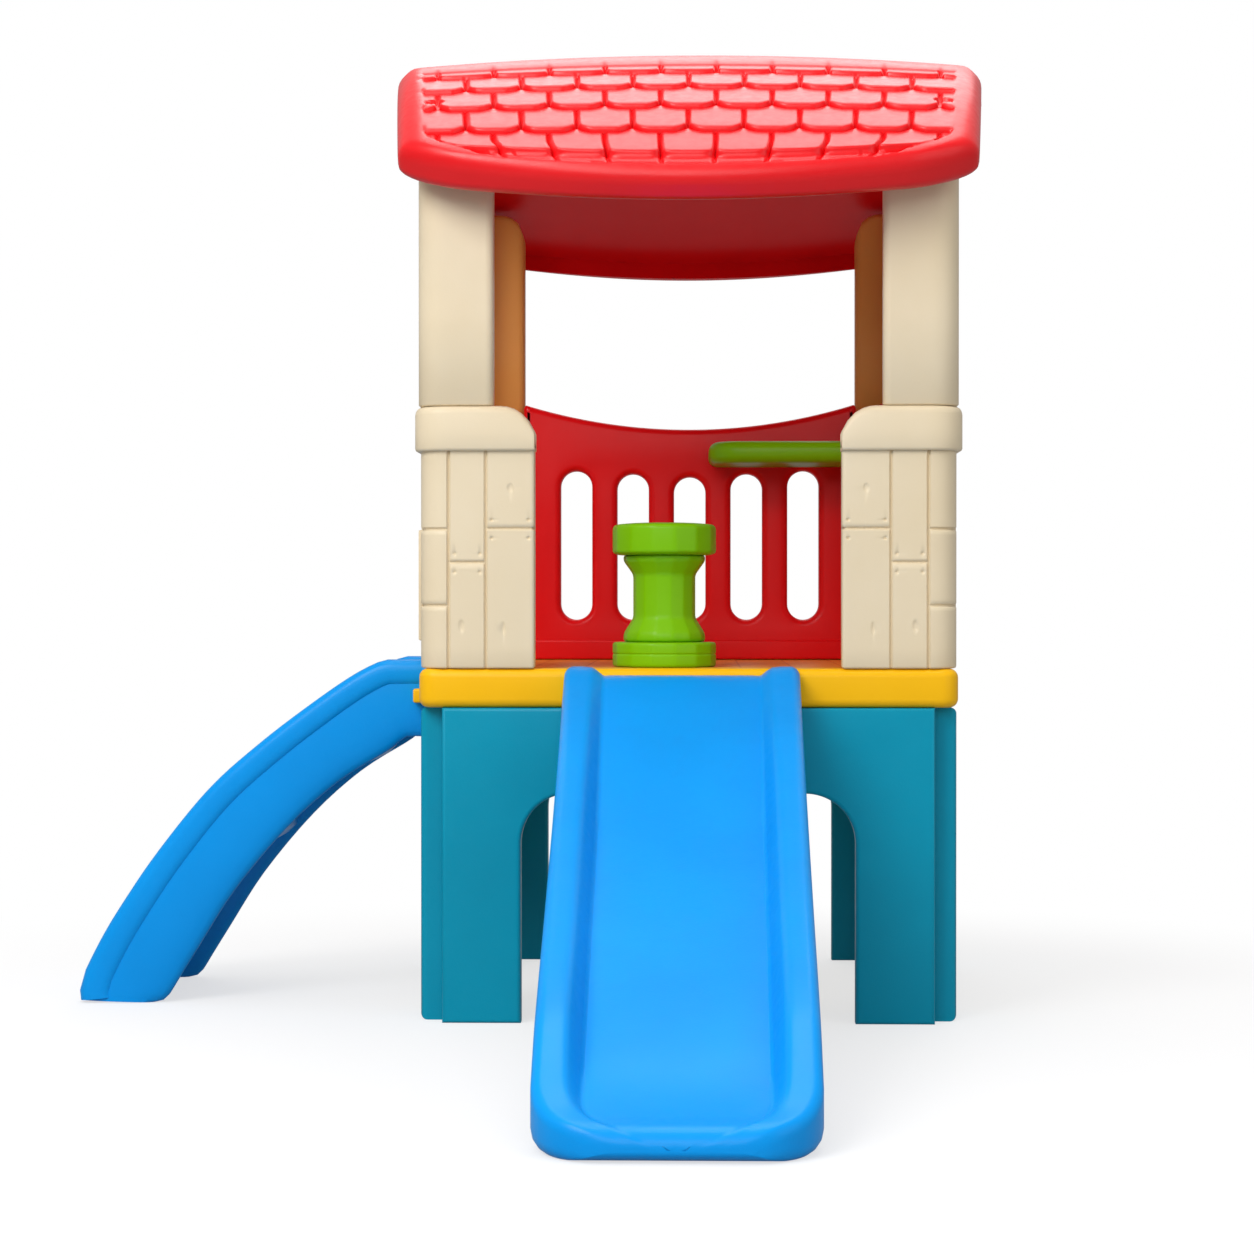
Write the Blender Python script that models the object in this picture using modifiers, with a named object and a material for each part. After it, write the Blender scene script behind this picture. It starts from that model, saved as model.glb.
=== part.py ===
"""Playhouse with slide, a garden play tower made of moulded plastic pieces.

Run with: blender --background --python part.py
Units are metres, +Z is up, the slide runs toward -Y and the climber toward -X.
Every piece is modelled about the middle of the tower's floor. The empty at the top of the tree
moves the whole object so that its origin is the middle of the floor area that it covers.
"""

import math

import bmesh
import bpy
from mathutils import Quaternion, Vector

# Driving dimensions
GAP = 0.0003                # air between neighbouring pieces
EDGE = 0.006                # usual rounding of a moulded edge
SMOOTH_ANGLE = math.radians(35)
MERGE = 0.00001

TOWER_HALF = 0.4570         # half the width and depth of the deck
DECK_LOW = 0.534
DECK_TOP = 0.600
DECK_CORNER = 0.030
DECK_EDGE = 0.014
LEDGE_REACH = 0.0285        # ledges that carry the slide and the climber
LEDGE_LOW = 0.535
LEDGE_TOP = 0.560
LEDGE_HALF = 0.250          # of the climber's ledge
SLIDE_LEDGE_HALF = 0.186

BASE_TOP = DECK_LOW - GAP
BASE_WIDE_HALF = 0.4165     # front and back base panels
BASE_WIDE_THICK = 0.042
BASE_SIDE_OUT = 0.4565      # outer face of the left and right base panels
BASE_SIDE_THICK = 0.060
BASE_SIDE_EDGE = 0.010
ARCH_HALF = 0.283
ARCH_TOP = 0.389
ARCH_CORNER = 0.085
FLANGE_THICK = 0.025        # the front and back panels' flanges inside the corners
FLANGE_DEEP = 0.055
FLANGE_LOW = 0.040
FLANGE_TOP = 0.500

PILLAR_OUT = 0.4555
PILLAR_LEG = 0.196
PILLAR_THICK = 0.042
PILLAR_TOP = 1.044
PILLAR_CORNER = 0.045
PILLAR_END_ROUND = 0.057
BAND_LOW = 0.968
BAND_PROUD = 0.010
BAND_INNER_PROUD = 0.0005
BAND_END_PROUD = 0.001
BAND_EDGE = 0.012

POST_OUT = 0.4590
POST_LEG = 0.130
POST_THICK = 0.045
POST_TOP = 1.486
POST_END_ROUND = 0.050
POST_EDGE = 0.008
POST_RISE = 0.067           # how far a post's inner end follows the roof up

TENON_OUT = 0.444
TENON_THICK = 0.016
TENON_DEEP = 0.032
TENON_LEG_SHORTER = 0.030

WALL_HALF = 0.3285          # the slotted wall panels
WALL_THICK = 0.045
WALL_FACE = PILLAR_OUT - PILLAR_THICK - BAND_INNER_PROUD - GAP
WALL_TOP_END = 1.105
WALL_TOP_MID = 1.055
WALL_CORNER = 0.010
SLOT_PITCH = 0.112
SLOT_HALF = 0.031
SLOT_LOW = 0.679
SLOT_TOP = 0.961
WALL_EDGE = 0.008
SLOT_RISE = 0.006           # the outer slots reach this much higher for each step out

RIDGE_TOP = 1.722
RIDGE_ANGLE = math.radians(14.5)
EAVE_ANGLE = math.radians(37.0)
SLOPE_LENGTH = 0.700        # along the slope at the middle
EAVE_BOW = 0.075            # how much shorter the slope is at its ends
RIDGE_HALF = 0.5475
EAVE_HALF = 0.488
FRONT_NARROWER = 0.005      # the front half is this much narrower at each end
RIDGE_CORNER = 0.050
EAVE_CORNER = 0.075
RIDGE_DROOP = 0.025         # how far the ridge sinks at its ends
ROOF_RIM = 0.074
ROOF_FIELD = 0.032
ROOF_EDGE = 0.017           # how far the rim's edge is rounded off, above and below
ROOF_EDGE_STEPS = (1.0, 0.3, 0.0)
ROOF_COLUMNS = (-1.0, -0.98, -0.94, -0.915, -0.80, -0.60, -0.30, 0.0, 0.30, 0.60, 0.80, 0.915, 0.94, 0.98,
                1.0)

SLIDE_MID = -0.010
SLIDE_TOP_HALF = 0.198
SLIDE_FOOT_HALF = 0.190
SLIDE_REACH = 1.217         # from the deck's front face to the end of the slide
SLIDE_END_ROUND = 0.105
RAIL_TOP_WIDE = 0.047
RAIL_WALL = 0.024           # how far the rail's inner wall leans
RAIL_ROUND = 0.016          # rounding of the rail's outer edge
BED_FILLET = 0.012
SLIDE_RAIL = ((0.0, 0.604), (0.03, 0.601), (0.08, 0.576), (0.40, 0.420), (0.71, 0.285), (1.00, 0.165),
              (1.08, 0.117), (1.15, 0.070), (1.19, 0.048), (1.217, 0.040))
SLIDE_BED = ((0.0, 0.589), (0.03, 0.585), (0.08, 0.556), (0.40, 0.375), (0.71, 0.240), (1.00, 0.113),
             (1.08, 0.077), (1.15, 0.053), (1.19, 0.045), (1.217, 0.038))
SLIDE_UNDER = ((0.0, 0.535), (0.03, 0.520), (0.08, 0.498), (0.40, 0.328), (0.71, 0.190), (1.00, 0.063),
               (1.09, 0.0), (1.217, 0.0))

CLIMBER_REACH = 1.087       # from the tower's middle to the climber's foot
CLIMBER_MID = -0.034
CLIMBER_HALF = 0.195
CLIMBER_RAIL_WIDE = 0.045
CLIMBER_FOOT_ROUND = 0.014
CLIMBER_UPPER = ((-1.074, 0.060), (-1.047, 0.113), (-1.013, 0.170), (-0.947, 0.267), (-0.854, 0.381),
                 (-0.761, 0.464), (-0.669, 0.534), (-0.599, 0.582), (-0.553, 0.606), (-0.535, 0.611))
CLIMBER_UNDER = ((-0.502, 0.473), (-0.529, 0.452), (-0.622, 0.394), (-0.715, 0.311), (-0.808, 0.200),
                 (-0.873, 0.098), (-0.909, 0.040), (-0.925, 0.014), (-0.937, 0.003), (-0.950, 0.0))
STEP_NOSES = ((-1.062, 0.0), (-1.022, 0.150), (-0.905, 0.300), (-0.765, 0.450), (-0.575, 0.590))
STEP_SKIN = 0.022
STEP_BEVEL = 0.016          # off the corner under each riser, to keep it above the rail's edge
STEP_OVERLAP = 0.012        # how far a tread runs in under the next nose
STEP_FOOT = 0.030           # how much further the lowest riser reaches at the floor
CLIMBER_EDGE = 0.010
STEP_EDGE = 0.004

TABLE_LEFT = 0.037
TABLE_DEEP = 0.200
TABLE_LOW = 0.979
TABLE_TOP = 1.021
TABLE_CORNER = 0.060
TABLE_EDGE = 0.016

STOOL_X = -0.042
STOOL_Y = -0.2945
DISC_RADIUS = 0.090
STOOL_BASE_HIGH = 0.043
STOOL_SEAT_LOW = 0.194
STOOL_HIGH = 0.250
COLUMN_RADIUS = 0.071
WAIST_RADIUS = 0.054
SPIGOT_RADIUS = 0.030
SPIGOT_HIGH = 0.020
BASE_EDGE = 0.005
SEAT_EDGE = 0.012
WAIST_TOP = 0.158           # the waist between its two flares
WAIST_LOW = 0.086
FLARE_TOP = 0.180
FLARE_LOW = 0.060
STOOL_SIDES = 32

SCREW_HEAD = 0.0070
SCREW_HEAD_HIGH = 0.0045
SCREW_SHANK = 0.0028
SCREW_STEPS = 8
SCREW_TWIST = math.radians(7)    # keeps the facets' corners off the pieces' own planes
BORE_ROOM = 0.0004
BORE_MOUTH = 0.030
HEAD_INSET = 0.004          # how deep the heads sit in a flat face
BASE_SCREW_LEVELS = (("lower", 0.100), ("upper", 0.440))
BASE_SCREW_LONG = 0.045
POST_SCREW_OUT = 0.372
POST_SCREW_DOWN = 0.017     # under the pillar's top
POST_SCREW_LONG = 0.024
WALL_SCREW_LEVELS = (("lower", 0.680), ("upper", 0.900))
WALL_SCREW_OUT = 0.292
WALL_SCREW_LONG = 0.060
ROOF_SCREW_OUT = 0.375
ROOF_SCREW_INSET = 0.012
ROOF_SCREW_LONG = 0.080
RIDGE_SCREWS = (("left", -0.36), ("middle", 0.0), ("right", 0.36))
RIDGE_SCREW_LONG = 0.032
HOOK_SCREWS = (("near", -0.080), ("far", 0.080))
HOOK_SCREW_LONG = 0.034
TABLE_SCREWS_BACK = (("left", 0.100), ("right", 0.240))
TABLE_SCREW_SIDE = 0.250
TABLE_SCREW_LONG = 0.070
RIDGE_SCREW_DEPTH = 0.060   # under the ridge
RIDGE_SCREW_HEAD = 0.021    # from the joint between the roof halves

ROOF_RADIUS = SLOPE_LENGTH / (EAVE_ANGLE - RIDGE_ANGLE)
ROOF_HALF_X = RIDGE_HALF - (RIDGE_HALF - EAVE_HALF) * RIDGE_CORNER / SLOPE_LENGTH
ROOF_HALF_Y = ROOF_RADIUS * (math.sin(EAVE_ANGLE) - math.sin(RIDGE_ANGLE)) - ROOF_EDGE * math.sin(EAVE_ANGLE)
MIDDLE_X = (ROOF_HALF_X - CLIMBER_REACH) / 2
MIDDLE_Y = (ROOF_HALF_Y - TOWER_HALF - SLIDE_REACH) / 2

MATERIALS = {
    "teal": ("#0092AD", 0.42, 0.0),
    "yellow": ("#F9C318", 0.40, 0.0),
    "cream": ("#EFE3CB", 0.45, 0.0),
    "red": ("#DB1A20", 0.38, 0.0),
    "blue": ("#109FF2", 0.36, 0.0),
    "green": ("#79B80C", 0.38, 0.0),
    "steel": ("#B9BCC0", 0.30, 1.0),
}


# Scene, collections and materials

def clear_scene():
    for obj in list(bpy.data.objects):
        bpy.data.objects.remove(obj, do_unlink=True)


def new_collection(name):
    collection = bpy.data.collections.new(name)
    bpy.context.scene.collection.children.link(collection)
    return collection


def srgb_to_linear(value):
    if value <= 0.04045:
        return value / 12.92
    return ((value + 0.055) / 1.055) ** 2.4


def make_material(name, colour, roughness, metallic):
    material = bpy.data.materials.new(name)
    material.use_nodes = True
    shader = material.node_tree.nodes["Principled BSDF"]
    channels = [int(colour[i:i + 2], 16) / 255 for i in (1, 3, 5)]
    shader.inputs["Base Color"].default_value = [srgb_to_linear(c) for c in channels] + [1.0]
    shader.inputs["Roughness"].default_value = roughness
    shader.inputs["Metallic"].default_value = metallic
    return material


# Objects and modifiers

def add_object(name, data, collection):
    obj = bpy.data.objects.new(name, data)
    collection.objects.link(obj)
    return obj


def add_part(name, mesh, material):
    """A visible piece: named, coloured, parented to the tower's empty and shaded smooth."""
    obj = add_object(name, mesh, parts)
    if not mesh.materials:
        mesh.materials.append(materials[material])
    mesh.shade_smooth()
    mesh.set_sharp_from_angle(angle=SMOOTH_ANGLE)
    obj.parent = tower
    return obj


def add_cutter(name, mesh):
    obj = add_object(name, mesh, cutters)
    obj.parent = tower
    obj.hide_render = True
    obj.display_type = "WIRE"
    return obj


def round_edges(obj, width=EDGE, segments=1):
    bevel = obj.modifiers.new("Rounded edges", "BEVEL")
    bevel.width = width
    bevel.segments = segments
    bevel.limit_method = "ANGLE"
    bevel.angle_limit = math.radians(40)
    return obj


def combine(obj, other, operation):
    boolean = obj.modifiers.new(operation.title(), "BOOLEAN")
    boolean.operation = operation
    boolean.object = other
    boolean.solver = "EXACT"


def cut(obj, cutter):
    combine(obj, cutter, "DIFFERENCE")


def join(obj, other):
    combine(obj, other, "UNION")


def face_outward(bm):
    bmesh.ops.recalc_face_normals(bm, faces=bm.faces)
    if bm.calc_volume(signed=True) < 0:
        bmesh.ops.reverse_faces(bm, faces=bm.faces)


def mesh_of(bm, name):
    face_outward(bm)
    mesh = bpy.data.meshes.new(name)
    bm.to_mesh(mesh)
    bm.free()
    return mesh


# Shapes

def arc(centre, radius, start, end, steps):
    """Points on an arc, with its angles in degrees."""
    points = []
    for i in range(steps + 1):
        angle = math.radians(start + (end - start) * i / steps)
        points.append((centre[0] + radius * math.cos(angle), centre[1] + radius * math.sin(angle)))
    return points


def add_box(bm, low, high):
    """A box between two corners, given as the lowest and the highest x, y and z."""
    box = bmesh.ops.create_cube(bm, size=1.0)
    for vertex in box["verts"]:
        vertex.co = [low[i] if vertex.co[i] < 0 else high[i] for i in range(3)]


def box_mesh(name, *boxes):
    bm = bmesh.new()
    for low, high in boxes:
        add_box(bm, low, high)
    return mesh_of(bm, name)


def flat_mesh(name, outlines, thickness):
    """A flat outline with holes, drawn as a filled 2D curve and turned into a closed mesh."""
    curve = bpy.data.curves.new(name, "CURVE")
    curve.dimensions = "2D"
    curve.fill_mode = "BOTH"
    curve.extrude = thickness / 2
    for outline in outlines:
        spline = curve.splines.new("POLY")
        spline.points.add(len(outline) - 1)
        for point, (x, y) in zip(spline.points, outline):
            point.co = (x, y, 0.0, 1.0)
        spline.use_cyclic_u = True
    drawn = add_object(name + "_outline", curve, cutters)
    bpy.context.view_layer.update()
    evaluated = drawn.evaluated_get(bpy.context.evaluated_depsgraph_get())
    mesh = bpy.data.meshes.new_from_object(evaluated)
    bpy.data.objects.remove(drawn)
    bpy.data.curves.remove(curve)
    bm = bmesh.new()
    bm.from_mesh(mesh)
    bmesh.ops.remove_doubles(bm, verts=bm.verts, dist=MERGE)
    bm.to_mesh(mesh)
    bm.free()
    mesh.name = name
    return mesh


def stand_up(obj, facing, middle):
    """Stand a flat piece up: its outline's x and y become the wall's width and height."""
    if facing == "y":
        obj.rotation_euler = (math.radians(90), 0.0, 0.0)
        obj.location = (0.0, middle, 0.0)
    else:
        obj.rotation_euler = (math.radians(90), 0.0, math.radians(90))
        obj.location = (middle, 0.0, 0.0)


def turned_mesh(name, profile, closed=False):
    """A profile at +X, drawn down its outer side from top to bottom, and back up if it is a ring."""
    mesh = bpy.data.meshes.new(name)
    vertices = [(radius, 0.0, height) for radius, height in profile]
    edges = [(i, i + 1) for i in range(len(profile) - 1)]
    if closed:
        edges.append((len(profile) - 1, 0))
    mesh.from_pydata(vertices, edges, [])
    return mesh


def spin(obj, steps):
    screw = obj.modifiers.new("Turned", "SCREW")
    screw.steps = steps
    screw.render_steps = steps
    screw.use_merge_vertices = True
    screw.merge_threshold = MERGE
    screw.use_smooth_shade = True
    return obj


def corner_mesh(name, out, leg, thick, low, high, corner_round, end_round=0.0, rise=0.0, steps=5):
    """An upright wall round the front left corner: two legs with rounded ends and a rounded corner.

    rise lifts the top of the side leg's free end, to follow the roof.
    """
    near, far = out - thick, out - leg
    turn = arc((out - corner_round, out - corner_round), corner_round, 90, 0, steps)
    plan = [(far, out)] + turn + [(out, far), (near, far), (near, near), (far, near)]
    bm = bmesh.new()
    floor = [bm.verts.new((-x, -y, low)) for x, y in plan]
    ceiling = [bm.verts.new((-x, -y, high + (rise if y == far else 0.0))) for x, y in plan]
    for ring in (floor, ceiling):
        corner, front_end, side_end = ring[-2], ring[-1], ring[-3]
        bm.faces.new((ring[0], ring[1], corner, front_end))
        for i in range(1, len(turn)):
            bm.faces.new((ring[i], ring[i + 1], corner))
        bm.faces.new((ring[len(turn)], ring[len(turn) + 1], side_end, corner))
    for i in range(len(plan)):
        j = (i + 1) % len(plan)
        bm.faces.new((floor[i], floor[j], ceiling[j], ceiling[i]))
    if end_round:
        pairs = ({ceiling[0], ceiling[-1]}, {ceiling[-3], ceiling[-4]})
        ends = [e for e in bm.edges if set(e.verts) in pairs]
        bmesh.ops.bevel(bm, geom=ends, offset=end_round, segments=5, profile=0.5, affect="EDGES")
    return mesh_of(bm, name)


def mirrored(mesh, name, side_x, side_y):
    """A copy of a front left corner's mesh for the corner with these signs."""
    copy = mesh.copy()
    copy.name = name
    bm = bmesh.new()
    bm.from_mesh(copy)
    for vertex in bm.verts:
        vertex.co.x *= -side_x
        vertex.co.y *= -side_y
    face_outward(bm)
    bm.to_mesh(copy)
    bm.free()
    return copy


def smooth_value(points, at):
    """The height of a smooth curve through a few points, with slopes from its neighbours."""
    count = len(points)
    slopes = []
    for i in range(count):
        before, after = points[max(i - 1, 0)], points[min(i + 1, count - 1)]
        slopes.append((after[1] - before[1]) / (after[0] - before[0]))
    for i in range(count - 1):
        (x0, z0), (x1, z1) = points[i], points[i + 1]
        if at <= x1 or i == count - 2:
            span = x1 - x0
            t = min(max((at - x0) / span, 0.0), 1.0)
            start = (2 * t ** 3 - 3 * t ** 2 + 1) * z0 + (t ** 3 - 2 * t ** 2 + t) * span * slopes[i]
            end = (3 * t ** 2 - 2 * t ** 3) * z1 + (t ** 3 - t ** 2) * span * slopes[i + 1]
            return start + end
    return points[-1][1]


def loft(rings, thin=False):
    """A closed body from equal rings of points, with flat ends, or strips across the ends of a thin sheet."""
    bm = bmesh.new()
    rows = [[bm.verts.new(point) for point in ring] for ring in rings]
    for row, following in zip(rows, rows[1:]):
        for i in range(len(row)):
            j = (i + 1) % len(row)
            bm.faces.new((row[i], row[j], following[j], following[i]))
    for row in (rows[0], rows[-1]):
        if thin:
            for i in range(len(row) // 2 - 1):
                bm.faces.new((row[i], row[i + 1], row[-2 - i], row[-1 - i]))
        else:
            bm.faces.new(row)
    return bm


# The base and the deck

def arch_outline(half):
    left = arc((-ARCH_HALF + ARCH_CORNER, ARCH_TOP - ARCH_CORNER), ARCH_CORNER, 180, 90, 8)
    right = arc((ARCH_HALF - ARCH_CORNER, ARCH_TOP - ARCH_CORNER), ARCH_CORNER, 90, 0, 8)
    feet = [(-half, BASE_TOP), (-half, 0.0), (-ARCH_HALF, 0.0)]
    return feet + left + right + [(ARCH_HALF, 0.0), (half, 0.0), (half, BASE_TOP)]


def make_base():
    """Front and back panels with corner flanges, and side panels between them."""
    side_end = TOWER_HALF - BASE_WIDE_THICK - GAP
    side_in = BASE_SIDE_OUT - BASE_SIDE_THICK
    for name, side in (("base_front_panel", -1), ("base_back_panel", 1)):
        mesh = flat_mesh(name, [arch_outline(BASE_WIDE_HALF)], BASE_WIDE_THICK)
        panel = add_part(name, mesh, "teal")
        stand_up(panel, "y", side * (TOWER_HALF - BASE_WIDE_THICK / 2))
        x0, x1 = side_in - GAP - FLANGE_THICK, side_in - GAP
        y0, y1 = sorted((side * (side_end - FLANGE_DEEP), side * (TOWER_HALF - BASE_WIDE_THICK / 2)))
        flanges = box_mesh(f"{name}_flanges", ((-x1, y0, FLANGE_LOW), (-x0, y1, FLANGE_TOP)),
                           ((x0, y0, FLANGE_LOW), (x1, y1, FLANGE_TOP)))
        join(panel, add_cutter(flanges.name, flanges))
        round_edges(panel)
    for name, side in (("base_left_panel", -1), ("base_right_panel", 1)):
        mesh = flat_mesh(name, [arch_outline(side_end)], BASE_SIDE_THICK)
        panel = round_edges(add_part(name, mesh, "teal"), BASE_SIDE_EDGE)
        stand_up(panel, "x", side * (BASE_SIDE_OUT - BASE_SIDE_THICK / 2))


def rounded_square(half, radius, steps=5):
    inner = half - radius
    points = []
    for (sign_x, sign_y), start in zip(((1, 1), (-1, 1), (-1, -1), (1, -1)), (0, 90, 180, 270)):
        points += arc((sign_x * inner, sign_y * inner), radius, start, start + 90, steps)
    return points


def make_deck():
    mesh = flat_mesh("deck", [rounded_square(TOWER_HALF, DECK_CORNER)], DECK_TOP - DECK_LOW)
    deck = round_edges(add_part("deck", mesh, "yellow"), DECK_EDGE, 2)
    deck.location.z = (DECK_LOW + DECK_TOP) / 2
    root = TOWER_HALF - DECK_EDGE - LEDGE_REACH
    tip = TOWER_HALF + LEDGE_REACH
    slide_ledge = box_mesh("slide_ledge", ((SLIDE_MID - SLIDE_LEDGE_HALF, -tip, LEDGE_LOW),
                                           (SLIDE_MID + SLIDE_LEDGE_HALF, -root, LEDGE_TOP)))
    climber_ledge = box_mesh("climber_ledge", ((-tip, -LEDGE_HALF, LEDGE_LOW),
                                               (-root, LEDGE_HALF, LEDGE_TOP)))
    for ledge in (slide_ledge, climber_ledge):
        join(deck, add_cutter(ledge.name, ledge))


# The corners

def make_corners():
    """Four pillars that plug into the deck, and four posts that plug into the pillars."""
    wall_top = PILLAR_TOP - (PILLAR_TOP - BAND_LOW) / 2
    wall = corner_mesh("wall", PILLAR_OUT, PILLAR_LEG, PILLAR_THICK, DECK_TOP + GAP, wall_top,
                       PILLAR_CORNER)
    band = corner_mesh("band", PILLAR_OUT + BAND_PROUD, PILLAR_LEG + BAND_PROUD + BAND_END_PROUD,
                       PILLAR_THICK + BAND_PROUD + BAND_INNER_PROUD, BAND_LOW, PILLAR_TOP,
                       PILLAR_CORNER + BAND_PROUD, PILLAR_END_ROUND)
    post = corner_mesh("post", POST_OUT, POST_LEG, POST_THICK, PILLAR_TOP + GAP, POST_TOP,
                       PILLAR_CORNER, POST_END_ROUND, POST_RISE)
    for name, side_x, side_y in CORNERS:
        pillar = add_part(f"{name}_pillar", mirrored(wall, f"{name}_pillar", side_x, side_y), "cream")
        round_edges(pillar)
        cap = round_edges(add_cutter(f"{name}_band", mirrored(band, "band", side_x, side_y)), BAND_EDGE, 2)
        join(pillar, cap)
        upright = add_part(f"{name}_post", mirrored(post, f"{name}_post", side_x, side_y), "cream")
        round_edges(upright, POST_EDGE)
        plug_into(pillar, parts.objects["deck"], DECK_TOP, PILLAR_LEG, side_x, side_y)
        plug_into(upright, pillar, PILLAR_TOP, POST_LEG, side_x, side_y)


def plug_into(upper, lower, level, leg, side_x, side_y):
    """A tenon under the upper piece, and its socket in the lower piece."""
    length = leg - TENON_LEG_SHORTER
    turn = PILLAR_CORNER - (PILLAR_OUT - TENON_OUT)
    tenon = corner_mesh("tenon", TENON_OUT, length, TENON_THICK, level - TENON_DEEP, level + TENON_DEEP,
                        turn, steps=3)
    socket = corner_mesh("socket", TENON_OUT + GAP, length + 2 * GAP, TENON_THICK + 2 * GAP,
                         level - TENON_DEEP - GAP, level + TENON_DEEP, turn, steps=3)
    join(upper, add_cutter(f"{upper.name}_tenon", mirrored(tenon, "tenon", side_x, side_y)))
    cut(lower, add_cutter(f"{upper.name}_socket", mirrored(socket, "socket", side_x, side_y)))


# The slotted walls

def wall_outlines():
    """Outline with a dished top, and five upright slots with round ends."""
    rise = WALL_TOP_END - WALL_TOP_MID
    low = DECK_TOP + GAP
    steps = 8
    top = []
    for i in range(steps + 1):
        x = (WALL_HALF - WALL_CORNER) * (1 - 2 * i / steps)
        top.append((x, WALL_TOP_MID + rise * (x / WALL_HALF) ** 2))
    outline = [(-WALL_HALF, low), (WALL_HALF, low), (WALL_HALF, WALL_TOP_END - WALL_CORNER)] + top
    outline.append((-WALL_HALF, WALL_TOP_END - WALL_CORNER))
    slots = []
    for i in range(-2, 3):
        x = i * SLOT_PITCH
        upper = SLOT_TOP + abs(i) * SLOT_RISE - SLOT_HALF
        slot = arc((x, upper), SLOT_HALF, 0, 180, 6)
        slots.append(slot + arc((x, SLOT_LOW + SLOT_HALF), SLOT_HALF, 180, 360, 6))
    return [outline] + slots


def make_walls():
    middle = WALL_FACE - WALL_THICK / 2
    for name, facing in (("back_wall", "y"), ("right_wall", "x")):
        wall = add_part(name, flat_mesh(name, wall_outlines(), WALL_THICK), "red")
        stand_up(round_edges(wall, WALL_EDGE), facing, middle)


# The roof

def roof_point(x, along, deeper, side):
    """A point of the roof's upper surface, or under it, at a distance along the slope from the ridge."""
    angle = RIDGE_ANGLE + along / ROOF_RADIUS
    y = ROOF_RADIUS * (math.sin(angle) - math.sin(RIDGE_ANGLE)) - deeper * math.sin(angle)
    z = RIDGE_TOP - ROOF_RADIUS * (math.cos(RIDGE_ANGLE) - math.cos(angle)) - deeper * math.cos(angle)
    droop = RIDGE_DROOP * (x / RIDGE_HALF) ** 2 * (1 - along / SLOPE_LENGTH)
    return (x, side * y, z - droop)


def roof_rows():
    """Distances along the slope as shares of its length, with how far each row's ends draw in."""
    rows = []
    for degrees in (0, 30, 60, 90):
        angle = math.radians(degrees)
        share = RIDGE_CORNER * (1 - math.cos(angle)) / SLOPE_LENGTH
        rows.append((share, RIDGE_CORNER * (1 - math.sin(angle))))
    field_start, field_end = RIDGE_CORNER / SLOPE_LENGTH, 1 - EAVE_CORNER / SLOPE_LENGTH
    for i in range(1, 6):
        rows.append((field_start + (field_end - field_start) * i / 6, 0.0))
    for degrees in (90, 65, 45, 30, 0):
        angle = math.radians(degrees)
        share = 1 - EAVE_CORNER * (1 - math.cos(angle)) / SLOPE_LENGTH
        rows.append((share, EAVE_CORNER * (1 - math.sin(angle))))
    return rows


def roof_ring(i, side, narrower):
    """One row of a roof half: its upper points from left to right, then those underneath, back again."""
    rows = roof_rows()
    share, draw_in = rows[i]
    wide = RIDGE_HALF + (EAVE_HALF - RIDGE_HALF) * share - draw_in - narrower
    upper, under = [], []
    for j, across in enumerate(ROOF_COLUMNS):
        from_edge = min(i, len(rows) - 1 - i, j, len(ROOF_COLUMNS) - 1 - j)
        along = share * (SLOPE_LENGTH - EAVE_BOW * across ** 2)
        in_rim = from_edge < len(ROOF_EDGE_STEPS)
        chamfer = ROOF_EDGE * ROOF_EDGE_STEPS[from_edge] if in_rim else 0.0
        depth = ROOF_RIM - chamfer if in_rim else ROOF_FIELD
        for points, deeper in ((upper, chamfer), (under, depth)):
            x, y, z = roof_point(across * wide, along, deeper, side)
            if i < len(ROOF_EDGE_STEPS):
                y = side * max(abs(roof_point(x, along, 0.0, side)[1]), GAP / 2)
            points.append((x, y, z))
    return upper + under[::-1]


def make_roof_half(name, side, narrower):
    """A bowed sheet over half the tower, with a thick rim whose edge is rounded above and below."""
    bm = loft([roof_ring(i, side, narrower) for i in range(len(roof_rows()))], thin=True)
    bmesh.ops.triangulate(bm, faces=bm.faces, quad_method="SHORT_EDGE")
    add_part(name, mesh_of(bm, name), "red")


def make_roof():
    make_roof_half("roof_front", -1, FRONT_NARROWER)
    make_roof_half("roof_back", 1, 0.0)


# The slide

def slide_stations():
    """Distances from the deck, close together at the hook and at the rolled foot."""
    hook = [0.0, 0.020, 0.040, 0.060]
    run = [0.08 + 0.92 * i / 11 for i in range(12)]
    foot = [1.04, 1.08, 1.12, 1.15]
    end = [SLIDE_REACH - SLIDE_END_ROUND * (1 - math.sin(math.radians(a))) for a in (0, 30, 50, 70, 90)]
    return hook + run + foot + end


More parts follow.
